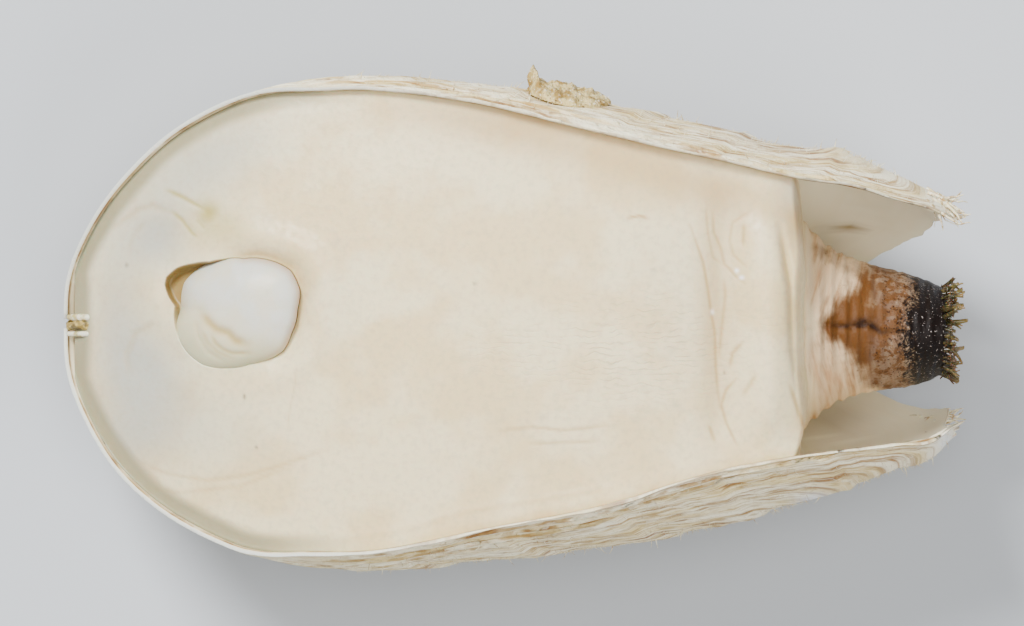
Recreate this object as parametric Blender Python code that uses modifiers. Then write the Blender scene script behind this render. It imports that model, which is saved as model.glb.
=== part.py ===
"""Rock-boring clam: a thin, widely gaping shell lying on its back with the animal's body in it.

Metres, +Z up. +X runs from the hinge end to the siphon end, +Y towards the left valve and
+Z from the back of the shell to its gape. Sizes below are millimetres of the real shell.
"""

import math

import bmesh
import bpy
import numpy as np
from mathutils import Matrix, Vector

MM = 0.001

# The shell as a whole
SHELL_LENGTH = 30.07
FRONT_X = -15.305
REAR_X = 15.305
WIDEST_HALF = 8.34
WALL = 0.36
GAP = 0.1

# Growth ledges: share of the way from the umbo to the edge, height, and the least strength that
# shows. A ledge fades out towards the front end by station and towards the back by section angle.
LEDGES = (0.34, 0.5, 0.62, 0.715, 0.79, 0.85, 0.9, 0.95)
PLAIN_RINGS = (0.0, 0.1, 0.22, 1.0)
LEDGE_HEIGHT = 0.2
LEDGE_STEP = 0.007
LEAST_LEDGE = 0.3
LEDGE_FADE = (0.5, 0.3)
LEDGE_FADE_TURN = (14.0, 40.0)
EDGE_COLUMNS = (30, 9)

# Hinge
HINGE_HALF_GAP = ((-15.305, 0.16), (-7.0, 0.16), (-3.0, 0.07), (14.77, 0.05))
LIGAMENT_RADIUS = 0.11
LIGAMENT_DEPTH = 0.17
LIGAMENT_ENDS = (0.1, -5.5)
UMBO_X = -12.2
SHELL_MIDDLE_Z = 5.5

# Heights of the back and of the gape's margin above what the shell lies on
BACK_Z = ((-15.305, 5.0), (-14.9, 3.75), (-14.2, 2.75), (-13.0, 1.85), (-11.0, 1.0), (-8.5, 0.4),
          (-5.5, 0.0), (-2.0, -0.12), (3.0, -0.12), (6.5, 0.02), (9.5, 0.4), (12.0, 0.9), (14.77, 1.9))
MARGIN_Z = ((-15.305, 5.0), (-14.9, 5.6), (-14.2, 6.2), (-13.0, 6.95), (-11.0, 8.0), (-8.5, 9.1),
            (-5.0, 10.3), (-1.0, 11.2), (4.0, 11.6), (9.0, 11.2), (12.0, 10.5), (14.77, 9.4))

# Half-width of each valve from above, and how far its section turns from the back to the margin
LEFT_HALF_WIDTH = ((-15.305, 0.0), (-14.6, 2.9), (-13.2, 4.9), (-11.2, 6.68), (-8.86, 7.77), (-5.8, 8.34),
                   (-1.4, 8.13), (3.05, 7.41), (7.17, 6.55), (9.6, 5.97), (11.3, 5.82), (12.63, 5.15),
                   (14.18, 4.3), (14.77, 3.8))
LEFT_TURN = ((-15.305, 62.0), (-13.0, 66.0), (-10.6, 80.0), (-8.5, 96.0), (-7.2, 105.0), (-4.9, 109.0),
             (-1.2, 114.0), (2.0, 119.5), (4.6, 122.5), (7.6, 124.4), (9.6, 125.4), (11.1, 127.5),
             (13.0, 124.0), (14.77, 117.0))
RIGHT_HALF_WIDTH = ((-15.305, 0.0), (-14.6, 3.1), (-13.2, 5.2), (-11.2, 6.76), (-8.86, 7.77), (-5.8, 8.33),
                    (-1.4, 8.08), (3.05, 7.54), (7.17, 6.8), (9.6, 6.12), (11.3, 5.54), (12.63, 5.05),
                    (14.18, 4.42), (14.77, 3.77))
RIGHT_TURN = ((-15.305, 62.0), (-13.0, 66.0), (-10.6, 80.0), (-8.5, 99.0), (-7.2, 108.0), (-4.3, 113.8),
              (-1.2, 120.5), (3.8, 127.8), (5.7, 132.5), (7.8, 134.8), (10.1, 133.0), (12.3, 127.8),
              (14.77, 118.0))

# The slanted rear edge of each valve: turn of the section in degrees, and x
LEFT_REAR = ((0.0, 9.2), (22.0, 12.0), (40.0, 13.7), (52.0, 14.25), (70.0, 14.52), (95.0, 14.68),
             (135.0, 14.77))
RIGHT_REAR = ((0.0, 9.2), (24.0, 12.0), (38.0, 13.7), (45.0, 14.45), (62.0, 14.68), (95.0, 14.75),
              (135.0, 14.77))

# Body: ends of its full sections, share of the section and step in x of each ring of its caps,
# depth of its edge below the margin, and how far its skin bulges between the edges
BODY_X = (-14.25, 9.3)
BODY_GRID = (32, 19)
BODY_GAP = 0.3
FRONT_CAP = ((0.0, -0.1), (0.6, -0.24), (0.88, -0.19))
REAR_CAP = ((0.95, 0.28), (0.84, 0.43), (0.55, 0.48), (0.0, 0.5))
DEEPEST_EDGE = 0.35
EDGE_DEPTH = ((-15.305, 0.9), (-14.0, 1.3), (-12.0, 1.2), (-9.0, 0.95), (-6.0, 0.6), (0.0, 0.45),
              (14.77, 0.5))
BULGE = ((-15.305, 0.3), (-14.0, 0.9), (-12.0, 1.3), (-9.4, 1.1), (-5.0, 0.9), (4.0, 0.8), (7.0, 0.6),
         (8.9, 0.85), (9.75, 0.3), (14.77, 0.3))

# Foot and its hole in the mantle: centre x and y, half-sizes
HOLE_CENTRE = (-9.48, 0.36)
HOLE_HALF = (2.38, 1.93, 2.6)
FOOT_CENTRE = (-9.26, 0.3)
FOOT_HALF = (2.07, 1.77)
FOOT_DEPTH = 2.2
FOOT_RISE = 0.95
FOOT_TILT = 20.0

# Siphon: x, half-width, half-height, y and z of its middle. The rings lie on its length between
# the shares of SIPHON_RUN, and its two ends close flat.
SIPHON_RINGS = ((9.95, 3.4, 3.15, -0.05, 6.3), (10.15, 3.0, 3.0, -0.08, 6.3), (10.4, 2.66, 2.85, -0.1, 6.3),
                (10.9, 2.38, 2.7, -0.1, 6.3), (11.5, 2.18, 2.6, -0.12, 6.3), (12.2, 2.0, 2.5, -0.16, 6.3),
                (13.2, 1.83, 2.35, -0.22, 6.3), (13.9, 1.62, 2.2, -0.24, 6.3), (14.35, 1.4, 2.0, -0.25, 6.3))
SIPHON_TIP_X = 14.4
SIPHON_RUN = (0.06, 0.9)
SIPHON_TIP_SHRINK = (0.95, 0.62)
SIPHON_SQUARE = 0.05
SIPHON_OPENINGS = (("upper_opening", 0.95, 0.55), ("lower_opening", -0.6, 0.72))
OPENING_HALF = (0.75, 0.62)
PAPILLA_COUNT = 20
PAPILLA_LENGTH = 0.78
PAPILLA_LENGTH_CHANGE = 0.15
PAPILLA_RADII = (0.13, 0.03)
PAPILLA_LEAN = 0.45
PAPILLA_RING = 0.86
PAPILLA_ROOT_DEPTH = 0.12

# Crust from the burrow: stretch of the left valve that it covers
CRUST_X = (0.4, 3.1)
CRUST_TURN = (90.0, 110.0)
CRUST_HEIGHT = 0.62
CRUST_THIN = 0.14
CRUST_LUMPS = ((0.1, 0.12, 1.0), (0.45, 0.2, 0.5), (0.8, 0.15, 0.3))
CRUST_BUMPS = 0.08

# Frayed outer skin at the rear tips. Left: places along the valve by x and section angle, radii and
# the step to its end. Right: section angle of its root on the rear edge, steps from there and radii.
FRINGE_OUT = 0.12
LEFT_FRINGE_X = (13.9, 14.2, 14.5, 14.74)
LEFT_FRINGE_TURN = (112.0, 111.0, 110.0, 109.0)
LEFT_FRINGE_RADII = (0.07, 0.11, 0.11, 0.09, 0.05)
LEFT_FRINGE_END = (0.16, -0.25, 0.05)
RIGHT_FRINGE_TURN = 47.0
RIGHT_FRINGE_STEPS = ((0.2, 0.05, 0.0), (0.42, -0.01, 0.05), (0.62, 0.1, 0.1), (0.8, 0.03, 0.12))
RIGHT_FRINGE_RADII = (0.1, 0.13, 0.1, 0.05)

COLOURS = {
    "shell": ("#D0C5AD", 0.6),
    "ligament": ("#7E6A3E", 0.55),
    "mantle": ("#DAD2C1", 0.42),
    "foot": ("#D9D8CF", 0.35),
    "siphon": ("#74563A", 0.5),
    "crust": ("#C7B592", 0.85),
    "periostracum": ("#CDBB8C", 0.6),
}


def station(x):
    """Return the station of x: 0 at the blunt front end, 1 at the rear tips."""
    return np.cbrt((np.asarray(x, float) - FRONT_X) / SHELL_LENGTH)


def along(stations):
    """Return x for stations."""
    return FRONT_X + SHELL_LENGTH * np.asarray(stations, float) ** 3


class Profile:
    """A smooth curve through a few knots of x and value."""

    def __init__(self, knots, by_station=True):
        places, self.values = np.array(knots, float).T
        self.places = station(places) if by_station else places
        self.slopes = np.gradient(self.values, self.places)

    def __call__(self, place):
        place = np.clip(place, self.places[0], self.places[-1])
        low = np.clip(np.searchsorted(self.places, place) - 1, 0, len(self.places) - 2)
        width = self.places[low + 1] - self.places[low]
        u = (place - self.places[low]) / width
        start, end = self.values[low], self.values[low + 1]
        leaving, arriving = self.slopes[low] * width, self.slopes[low + 1] * width
        return (start * (2 * u**3 - 3 * u**2 + 1) + leaving * (u**3 - 2 * u**2 + u)
                + end * (3 * u**2 - 2 * u**3) + arriving * (u**3 - u**2))


BACK = Profile(BACK_Z)
MARGIN = Profile(MARGIN_Z)
HALF_GAP = Profile(HINGE_HALF_GAP)
DEPTH = Profile(EDGE_DEPTH)
SWELL = Profile(BULGE)


class Valve:
    """One shell half as a surface of elliptical sections."""

    def __init__(self, side, half_width, turn, rear):
        self.side = side
        self.half_width = Profile(half_width)
        self.turn = Profile(turn)
        self.rear = Profile(rear, by_station=False)

    def section(self, r):
        """Return the half-width, half-height and middle height of the section, and its full turn."""
        turn = np.radians(self.turn(r))
        wide = np.maximum(self.half_width(r), 0.0)
        flare = np.where(turn < math.pi / 2, np.sin(turn), 1.0)
        tall = (MARGIN(r) - BACK(r)) / (1.0 - np.cos(turn))
        return wide / flare, tall, BACK(r) + tall, turn

    def point(self, r, angle):
        """Return points of the outer surface at stations and section angles."""
        wide, tall, middle, _ = self.section(r)
        gap = HALF_GAP(r)
        y = gap + wide * (1.0 - gap / WIDEST_HALF) * np.sin(angle)
        return np.stack((along(r), self.side * y, middle - tall * np.cos(angle)), axis=-1)

    def normal(self, r, angle):
        """Return outward normals of the outer surface."""
        step = 1e-4
        inner = np.maximum(r - step, 1e-6)
        by_r = self.point(inner + 2 * step, angle) - self.point(inner, angle)
        by_angle = self.point(r, angle + step) - self.point(r, angle - step)
        facing = np.cross(by_angle, by_r) * self.side
        size = np.linalg.norm(facing, axis=-1, keepdims=True)
        forwards = np.array((-1.0, 0.0, 0.0))
        return np.where(size > 1e-9, facing / np.maximum(size, 1e-9), forwards)

    def offset(self, r, angle, distance):
        """Return points moved off the outer surface, outwards where distance is positive."""
        return self.point(r, angle) + self.normal(r, angle) * np.asarray(distance)[..., None]

    def edge(self, margin_count, rear_count):
        """Return plane points of the free edge: the margin front to rear, then the rear edge to the hinge."""
        r = np.linspace(0.0, 1.0, 400)
        margin = self.even(r, np.radians(self.turn(r)), margin_count)
        angle = np.linspace(math.radians(self.turn(1.0)), 0.0, 300)
        rear = self.even(station(self.rear(np.degrees(angle))), angle, rear_count)
        return np.concatenate((margin, rear[1:]))

    def even(self, r, angle, count):
        """Return count + 1 plane points at even steps of length along a line on the surface."""
        steps = np.linalg.norm(np.diff(self.point(r, angle), axis=0), axis=1)
        length = np.concatenate(((0.0,), np.cumsum(steps)))
        wanted = np.linspace(0.0, length[-1], count + 1)
        quarter = angle / np.radians(self.turn(r)) * math.pi / 2
        plane = np.stack((r * np.cos(quarter), r * np.sin(quarter)))
        return np.array([np.interp(wanted, length, line) for line in plane]).T

    def fan(self, edge_point, growth):
        """Return station and section angle of a point between the umbo, growth 0, and the edge, 1."""
        umbo = np.array((float(station(UMBO_X)), 0.0))
        a, b = np.moveaxis(umbo + (edge_point - umbo) * np.asarray(growth)[..., None], -1, 0)
        r = np.hypot(a, b)
        return r, np.arctan2(b, a) / (math.pi / 2) * np.radians(self.turn(r))


LEFT = Valve(1.0, LEFT_HALF_WIDTH, LEFT_TURN, LEFT_REAR)
RIGHT = Valve(-1.0, RIGHT_HALF_WIDTH, RIGHT_TURN, RIGHT_REAR)


def linear(colour):
    """Return a linear RGBA colour from a hex sRGB one."""
    channels = [int(colour[i:i + 2], 16) / 255.0 for i in (1, 3, 5)]
    return [c / 12.92 if c <= 0.04045 else ((c + 0.055) / 1.055) ** 2.4 for c in channels] + [1.0]


def material(name):
    """Return a new material of one of the listed finishes."""
    colour, roughness = COLOURS[name]
    made = bpy.data.materials.new(name)
    made.use_nodes = True
    shader = made.node_tree.nodes["Principled BSDF"]
    shader.inputs["Base Color"].default_value = linear(colour)
    shader.inputs["Roughness"].default_value = roughness
    shader.inputs["Metallic"].default_value = 0.0
    return made


def formed_grid(name, columns, rows, place, collection, wall=None):
    """Return an object made from a grid whose points go where place(u, v) says, in millimetres.

    wall(u, v), where it is given, is each point's share of the wall that solidify adds.
    """
    bm = bmesh.new()
    bmesh.ops.create_grid(bm, x_segments=columns, y_segments=rows, size=0.5)
    u = np.array([v.co.x + 0.5 for v in bm.verts])
    v = np.array([v.co.y + 0.5 for v in bm.verts])
    layer = bm.verts.layers.float.new("wall_share")
    shares = wall(u, v) if wall else np.ones_like(u)
    for vert, co, share in zip(bm.verts, place(u, v) * MM, shares):
        vert.co = co
        vert[layer] = share
    bmesh.ops.remove_doubles(bm, verts=bm.verts, dist=1e-6)
    bmesh.ops.dissolve_degenerate(bm, edges=bm.edges, dist=1e-7)
    mesh = bpy.data.meshes.new(name)
    bm.to_mesh(mesh)
    bm.free()
    made = bpy.data.objects.new(name, mesh)
    collection.objects.link(made)
    return made


def face_outwards(made):
    """Turn the faces of a closed mesh outwards and shade them smooth."""
    bm = bmesh.new()
    bm.from_mesh(made.data)
    bmesh.ops.recalc_face_normals(bm, faces=bm.faces)
    bm.to_mesh(made.data)
    bm.free()
    made.data.polygons.foreach_set("use_smooth", [True] * len(made.data.polygons))


def face_away(made, middle):
    """Turn an open surface so that its faces look away from a middle."""
    outwards = sum(p.area * p.normal.dot(p.center - middle) for p in made.data.polygons)
    if outwards < 0:
        made.data.flip_normals()


def boolean(made, operation, cutter):
    """Add an exact Boolean to an object."""
    cut = made.modifiers.new(operation.lower(), "BOOLEAN")
    cut.operation = operation
    cut.solver = "EXACT"
    cut.object = cutter


def as_cutter(cutter):
    """Mark an object as one that only cuts or joins others."""
    cutter.hide_render = True
    cutter.display_type = "WIRE"


def solidify(made, thickness):
    """Give an open surface a wall outwards, thickness times each point's share, as plain faces."""
    shares = [point.value for point in made.data.attributes["wall_share"].data]
    group = made.vertex_groups.new(name="wall")
    for index, share in enumerate(shares):
        group.add([index], share, "REPLACE")
    wall = made.modifiers.new("wall", "SOLIDIFY")
    wall.thickness = thickness * MM
    wall.offset = 1.0
    wall.vertex_group = group.name
    wall.thickness_vertex_group = 0.0


def wear_flat(made):
    """Bring what a modified object has below the ground up to it, as the shell's back is worn flat."""
    walled = made.evaluated_get(bpy.context.evaluated_depsgraph_get())
    mesh = bpy.data.meshes.new_from_object(walled)
    made.modifiers.clear()
    made.data = mesh
    for vertex in mesh.vertices:
        vertex.co.z = max(vertex.co.z, 0.0)


class GrowthGrid:
    """The grid of a valve's surface: columns from the umbo to the edge, rings at the growth ledges."""

    def __init__(self, valve):
        self.valve = valve
        self.edge = valve.edge(*EDGE_COLUMNS)
        self.columns = sum(EDGE_COLUMNS)
        sides = [(ledge, side) for ledge in LEDGES for side in (-1.0, 1.0)]
        plain = [(ring, 0.0) for ring in PLAIN_RINGS]
        self.growth, self.side = np.array(sorted(plain + sides)).T
        self.rings = len(self.growth) - 1

    def lookup(self, u, v):
        """Return the station, section angle, ledge side and ledge strength of grid points."""
        column = np.rint(u * self.columns).astype(int)
        ring = np.rint(v * self.rings).astype(int)
        r, angle = self.valve.fan(self.edge[column], self.growth[ring])
        to_front = np.clip((r - LEDGE_FADE[0]) / LEDGE_FADE[1], 0.0, 1.0)
        to_back = np.clip((np.degrees(angle) - LEDGE_FADE_TURN[0]) / LEDGE_FADE_TURN[1], 0.0, 1.0)
        strength = to_front * to_back
        strength = np.where(strength < LEAST_LEDGE, 0.0, strength)
        stepped = self.growth[ring] + self.side[ring] * LEDGE_STEP * np.sign(strength)
        r, angle = self.valve.fan(self.edge[column], stepped)
        return r, angle, self.growth[ring], self.side[ring], strength

    def place(self, u, v):
        """Return the inner surface's points."""
        r, angle, *_ = self.lookup(u, v)
        return self.valve.offset(r, angle, np.full(len(u), -WALL))

    def wall(self, u, v):
        """Return the wall's share of its full thickness: it falls at a ledge and swells to the next."""
        _, _, growth, side, strength = self.lookup(u, v)
        just_past = (side > 0.0) & (growth > 0.0)
        return 1.0 - just_past * strength * LEDGE_HEIGHT / WALL


def valve_object(name, valve, collection):
    """Build one valve: an inner surface with a wall that steps at the growth ledges."""
    grid = GrowthGrid(valve)
    made = formed_grid(name, grid.columns, grid.rings, grid.place, collection, grid.wall)
    face_away(made, Vector((0.0, 0.0, SHELL_MIDDLE_Z * MM)))
    solidify(made, WALL)
    wear_flat(made)
    made.data.polygons.foreach_set("use_smooth", [True] * len(made.data.polygons))
    made.data.materials.append(material("shell"))
    return made


def edge_angle(valve, r):
    """Return the section angle at which the body's skin leaves the valve."""
    _, tall, _, turn = valve.section(r)
    depth = np.minimum(DEPTH(r), DEEPEST_EDGE * (MARGIN(r) - BACK(r)))
    return np.arccos(np.clip(np.cos(turn) + depth / tall, -1.0, 1.0))


def body_point(r, around):
    """Return points of the body: around 0 to 0.5 over the skin, left to right, then along the shell."""
    inset = -(WALL + BODY_GAP)
    left_edge, right_edge = edge_angle(LEFT, r), edge_angle(RIGHT, r)
    left = LEFT.offset(r, left_edge, np.full(len(r), inset))
    right = RIGHT.offset(r, right_edge, np.full(len(r), inset))
    across = np.clip(around / 0.5, 0.0, 1.0)
    skin = left + (right - left) * across[:, None]
    skin[:, 2] += SWELL(r) * (4.0 * across * (1.0 - across)) ** 0.7
    below = np.clip((around - 0.5) / 0.5, 0.0, 1.0)
    right_angle = right_edge * np.clip(1.0 - 2.0 * below, 0.0, 1.0)
    left_angle = left_edge * np.clip(2.0 * below - 1.0, 0.0, 1.0)
    right_wall = RIGHT.offset(r, right_angle, np.full(len(r), inset))
    left_wall = LEFT.offset(r, left_angle, np.full(len(r), inset))
    wall = np.where((below < 0.5)[:, None], right_wall, left_wall)
    return np.where((around <= 0.5)[:, None], skin, wall)


def mantle_object(collection, hole):
    """Build the mantle and the body below it as one closed lump with a pocket for the foot."""
    columns, full_rings = BODY_GRID
    front, rear = BODY_X
    full = front + (rear - front) * np.linspace(0.0, 1.0, full_rings) ** 1.2
    x = np.concatenate(([front] * len(FRONT_CAP), full, [rear] * len(REAR_CAP)))
    share = np.concatenate(([c[0] for c in FRONT_CAP], np.ones(full_rings), [c[0] for c in REAR_CAP]))
    step = np.concatenate(([c[1] for c in FRONT_CAP], np.zeros(full_rings), [c[1] for c in REAR_CAP]))
    rows = len(x) - 1

    def place(u, v):
        row = np.rint(v * rows).astype(int)
        r = station(x[row])
        ring = body_point(r, np.where(u > 1.0 - 1e-6, 0.0, u))
        centre = np.stack((x[row], np.zeros_like(r), (BACK(r) + MARGIN(r)) / 2), axis=-1)
        moved = centre + (ring - centre) * share[row][:, None]
        moved[:, 0] += step[row]
        return moved

    made = formed_grid("mantle", columns, rows, place, collection)
    face_outwards(made)
    boolean(made, "DIFFERENCE", hole)
    made.data.materials.append(material("mantle"))
    return made


def skin_height(x, y):
    """Return the height of the mantle's skin at a place near the middle line."""
    r = np.array([float(station(x))])
    left = LEFT.offset(r, edge_angle(LEFT, r), np.array([-(WALL + BODY_GAP)]))[0]
    right = RIGHT.offset(r, edge_angle(RIGHT, r), np.array([-(WALL + BODY_GAP)]))[0]
    across = (left[1] - y) / (left[1] - right[1])
    level = left[2] + (right[2] - left[2]) * across
    return float(level + SWELL(r)[0] * (4.0 * across * (1.0 - across)) ** 0.7)


def ellipsoid(name, centre, half, collection, segments=28, rings=14, tilt=0.0):
    """Return a closed ellipsoid; its upper and lower half-heights are half[2] and half[3]."""
    turned = Matrix.Rotation(-math.radians(tilt), 3, "Y")
    bm = bmesh.new()
    bmesh.ops.create_uvsphere(bm, u_segments=segments, v_segments=rings, radius=1.0)
    for vert in bm.verts:
        tall = half[2] if vert.co.z > 0 else half[3]
        scaled = Vector((vert.co.x * half[0], vert.co.y * half[1], vert.co.z * tall))
        vert.co = (Vector(centre) + turned @ scaled) * MM
    mesh = bpy.data.meshes.new(name)
    bm.to_mesh(mesh)
    bm.free()
    made = bpy.data.objects.new(name, mesh)
    collection.objects.link(made)
    made.data.polygons.foreach_set("use_smooth", [True] * len(made.data.polygons))
    return made


def foot_object(collection):
    """Build the foot, a rounded knob that stands a little out of its hole."""
    level = skin_height(*FOOT_CENTRE)
    half = (FOOT_HALF[0], FOOT_HALF[1], FOOT_RISE, FOOT_DEPTH)
    made = ellipsoid("foot", (*FOOT_CENTRE, level), half, collection, 22, 10, FOOT_TILT)
    made.data.materials.append(material("foot"))
    return made


def hole_cutter(collection):
    """Build the hollow of the foot's hole."""
    level = skin_height(*HOLE_CENTRE)
    half = (HOLE_HALF[0], HOLE_HALF[1], HOLE_HALF[2], HOLE_HALF[2])
    made = ellipsoid("foot_hole", (*HOLE_CENTRE, level), half, collection, tilt=FOOT_TILT)
    as_cutter(made)
    return made


def siphon_point(u, v):
    """Return points of the siphon: u around it, v from its flat base to its flat tip."""
    x, wide, tall, y, z = (np.array(line) for line in zip(*SIPHON_RINGS))
    base, last = SIPHON_RUN
    rim, rim_share = SIPHON_TIP_SHRINK
    place = np.clip((v - base) / (last - base), 0.0, 1.0)
    knots = np.linspace(0.0, 1.0, len(x))
    shrink = np.interp(v, (0.0, base, last, rim, 1.0), (0.0, 1.0, 1.0, rim_share, 0.0))
    angle = 2.0 * math.pi * np.where(u > 1.0 - 1e-6, 0.0, u)
    radius = 1.0 + SIPHON_SQUARE * place * np.cos(2.0 * angle) ** 2
    out_x = np.interp(place, knots, x) + np.where(v > (last + rim) / 2.0, SIPHON_TIP_X - x[-1], 0.0)
    out_y = np.interp(place, knots, y) + np.interp(place, knots, wide) * shrink * radius * np.cos(angle)
    out_z = np.interp(place, knots, z) + np.interp(place, knots, tall) * shrink * radius * np.sin(angle)
    return np.stack((out_x, out_y, out_z), axis=-1)


def papilla(bm, angle, ring, number):
    """Add one papilla at an angle round the siphon's tip, leaning outwards."""
    _, wide, tall, y, z = ring
    change = PAPILLA_LENGTH_CHANGE * (math.cos(3.1 * number) - 1.0)
    length = PAPILLA_LENGTH * (1.0 + change)
    added = bmesh.ops.create_cone(bm, cap_ends=True, segments=5, radius1=PAPILLA_RADII[0],
                                  radius2=PAPILLA_RADII[1], depth=length)["verts"]
    root = (y + PAPILLA_RING * wide * math.cos(angle), z + PAPILLA_RING * tall * math.sin(angle))
    for vert in added:
        across, up, forward = vert.co
        spread = PAPILLA_LEAN * forward
        vert.co = Vector((SIPHON_TIP_X - PAPILLA_ROOT_DEPTH + length / 2 + forward,
                          root[0] + across + spread * math.cos(angle),
                          root[1] + up + spread * math.sin(angle))) * MM


def siphon_object(collection, cutters):
    """Build the siphon with two openings at its tip and a fringe of papillae fused to it."""
    made = formed_grid("siphon", 28, 14, siphon_point, collection)
    face_outwards(made)
    bm = bmesh.new()
    for number in range(PAPILLA_COUNT):
        papilla(bm, 2.0 * math.pi * (number + 0.5) / PAPILLA_COUNT, SIPHON_RINGS[-1], number)
    mesh = bpy.data.meshes.new("papillae")
    bm.to_mesh(mesh)
    bm.free()
    papillae = bpy.data.objects.new("papillae", mesh)
    cutters.objects.link(papillae)
    as_cutter(papillae)
    _, _, _, y, z = SIPHON_RINGS[-1]
    for name, up, half_height in SIPHON_OPENINGS:
        half = (*OPENING_HALF, half_height, half_height)
        opening = ellipsoid(name, (SIPHON_TIP_X, y, z + up), half, cutters, 14, 8)
        as_cutter(opening)
        boolean(made, "DIFFERENCE", opening)
    boolean(made, "UNION", papillae)
    made.data.materials.append(material("siphon"))
    return made


def tube(name, points, radii, collection, finish):
    """Return a tapering tube through points in millimetres."""
    curve = bpy.data.curves.new(name, "CURVE")
    curve.dimensions = "3D"
    curve.bevel_depth = MM
    curve.bevel_resolution = 1
    curve.use_fill_caps = True
    spline = curve.splines.new("POLY")
    spline.points.add(len(points) - 1)
    for knot, point, radius in zip(spline.points, points, radii):
        knot.co = (*(np.asarray(point) * MM), 1.0)
        knot.radius = radius
    made = bpy.data.objects.new(name, curve)
    collection.objects.link(made)
    curve.materials.append(material(finish))
    return made


def ligament_object(collection):
    """Build the ligament: a strip in the gap between the valves along the hinge."""
    first_station, last_x = LIGAMENT_ENDS
    r = np.linspace(first_station, float(station(last_x)), 14)
    middle = LEFT.offset(r, np.zeros_like(r), np.full(len(r), -LIGAMENT_DEPTH))
    middle[:, 1] = 0.0
    radii = np.full(len(r), LIGAMENT_RADIUS)
    return tube("ligament", middle, radii, collection, "ligament")


def crust_object(collection):
    """Build the lump of lime from the burrow, on the outside of the left valve."""
    columns, rows = 12, 6
    low, high = (math.radians(a) for a in CRUST_TURN)

    def place(u, v):
        x = CRUST_X[0] + (CRUST_X[1] - CRUST_X[0]) * u
        turn = low + (high - low) * (v + 0.12 * np.sin(9.0 * u) * v * (1.0 - v))
        return LEFT.offset(station(x), turn, np.full(len(u), GAP))

    def wall(u, v):
        crest = sum(tall * np.exp(-(((u - at) / width) ** 2)) for at, width, tall in CRUST_LUMPS)
        crest = crest + CRUST_BUMPS * np.sin(23.0 * u + 11.0 * v)
        return np.clip(crest * np.sin(math.pi * (0.08 + 0.84 * v)) ** 0.6, CRUST_THIN, 1.0)

    made = formed_grid("burrow_crust", columns, rows, place, collection, wall)
    face_away(made, Vector((0.0, 0.0, SHELL_MIDDLE_Z * MM)))
    solidify(made, CRUST_HEIGHT)
    made.data.materials.append(material("crust"))
    return made


def fringe_objects(collection):
    """Build the frayed horny skin at the rear tips, as a solid of each tuft's form."""
    r = station(LEFT_FRINGE_X)
    outside = LEFT.offset(r, np.radians(LEFT_FRINGE_TURN), np.full(len(r), GAP + FRINGE_OUT))
    path = np.vstack((outside, outside[-1] + np.array(LEFT_FRINGE_END)))
    tube("left_fringe", path, LEFT_FRINGE_RADII, collection, "periostracum")
    root = RIGHT.point(station(RIGHT.rear(RIGHT_FRINGE_TURN)), math.radians(RIGHT_FRINGE_TURN))
    path = root + np.array(RIGHT_FRINGE_STEPS)
    path[-1, 0] = REAR_X
    tube("right_fringe", path, RIGHT_FRINGE_RADII, collection, "periostracum")


def main():
    """Clear the scene and build every piece."""
    for old in list(bpy.data.objects):
        bpy.data.objects.remove(old, do_unlink=True)
    pieces = bpy.data.collections.new("rock_boring_clam_shell")
    cutters = bpy.data.collections.new("cutters")
    for collection in (pieces, cutters):
        bpy.context.scene.collection.children.link(collection)
    valve_object("left_valve", LEFT, pieces)
    valve_object("right_valve", RIGHT, pieces)
    ligament_object(pieces)
    mantle_object(pieces, hole_cutter(cutters))
    foot_object(pieces)
    siphon_object(pieces, cutters)
    crust_object(pieces)
    fringe_objects(pieces)


main()
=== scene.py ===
"""Rock-boring clam in its open shell, lying on its back: the dressed model and its studio.

Lengths in this file are millimetres unless a name says otherwise. +X runs from the hinge end to
the siphon end, +Y towards the left valve and +Z from the back of the shell to its gape.
"""

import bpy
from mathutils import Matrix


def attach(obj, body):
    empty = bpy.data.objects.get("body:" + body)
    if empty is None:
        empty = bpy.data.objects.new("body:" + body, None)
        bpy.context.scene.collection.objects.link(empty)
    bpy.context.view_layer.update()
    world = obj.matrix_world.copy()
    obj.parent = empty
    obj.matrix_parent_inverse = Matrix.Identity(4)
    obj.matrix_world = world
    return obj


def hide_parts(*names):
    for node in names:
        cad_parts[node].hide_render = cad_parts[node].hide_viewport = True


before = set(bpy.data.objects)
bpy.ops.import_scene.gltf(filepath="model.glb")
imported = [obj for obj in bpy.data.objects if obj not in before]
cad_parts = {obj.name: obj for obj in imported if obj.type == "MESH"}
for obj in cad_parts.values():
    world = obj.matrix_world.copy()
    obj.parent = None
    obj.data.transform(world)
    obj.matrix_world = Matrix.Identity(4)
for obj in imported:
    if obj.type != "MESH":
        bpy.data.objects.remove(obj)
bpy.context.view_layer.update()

import logging
import math
from collections.abc import Mapping, Sequence
from dataclasses import dataclass, field
from enum import Enum
from typing import Any

import bpy
import numpy as np

MM = 0.001
LOG = logging.getLogger("clam")

Knots = Sequence[tuple[float, float]]
Path = Sequence[tuple[float, float]]


class Slot(Enum):
    """The record's material slots."""

    SHELL = "shell"
    LIGAMENT = "ligament"
    MANTLE = "mantle"
    FOOT = "foot"
    SIPHON = "siphon"
    CRUST = "crust"
    PERIOSTRACUM = "periostracum"


class Side(Enum):
    """The two shell halves, by the sign of their y."""

    LEFT = 1.0
    RIGHT = -1.0


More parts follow.
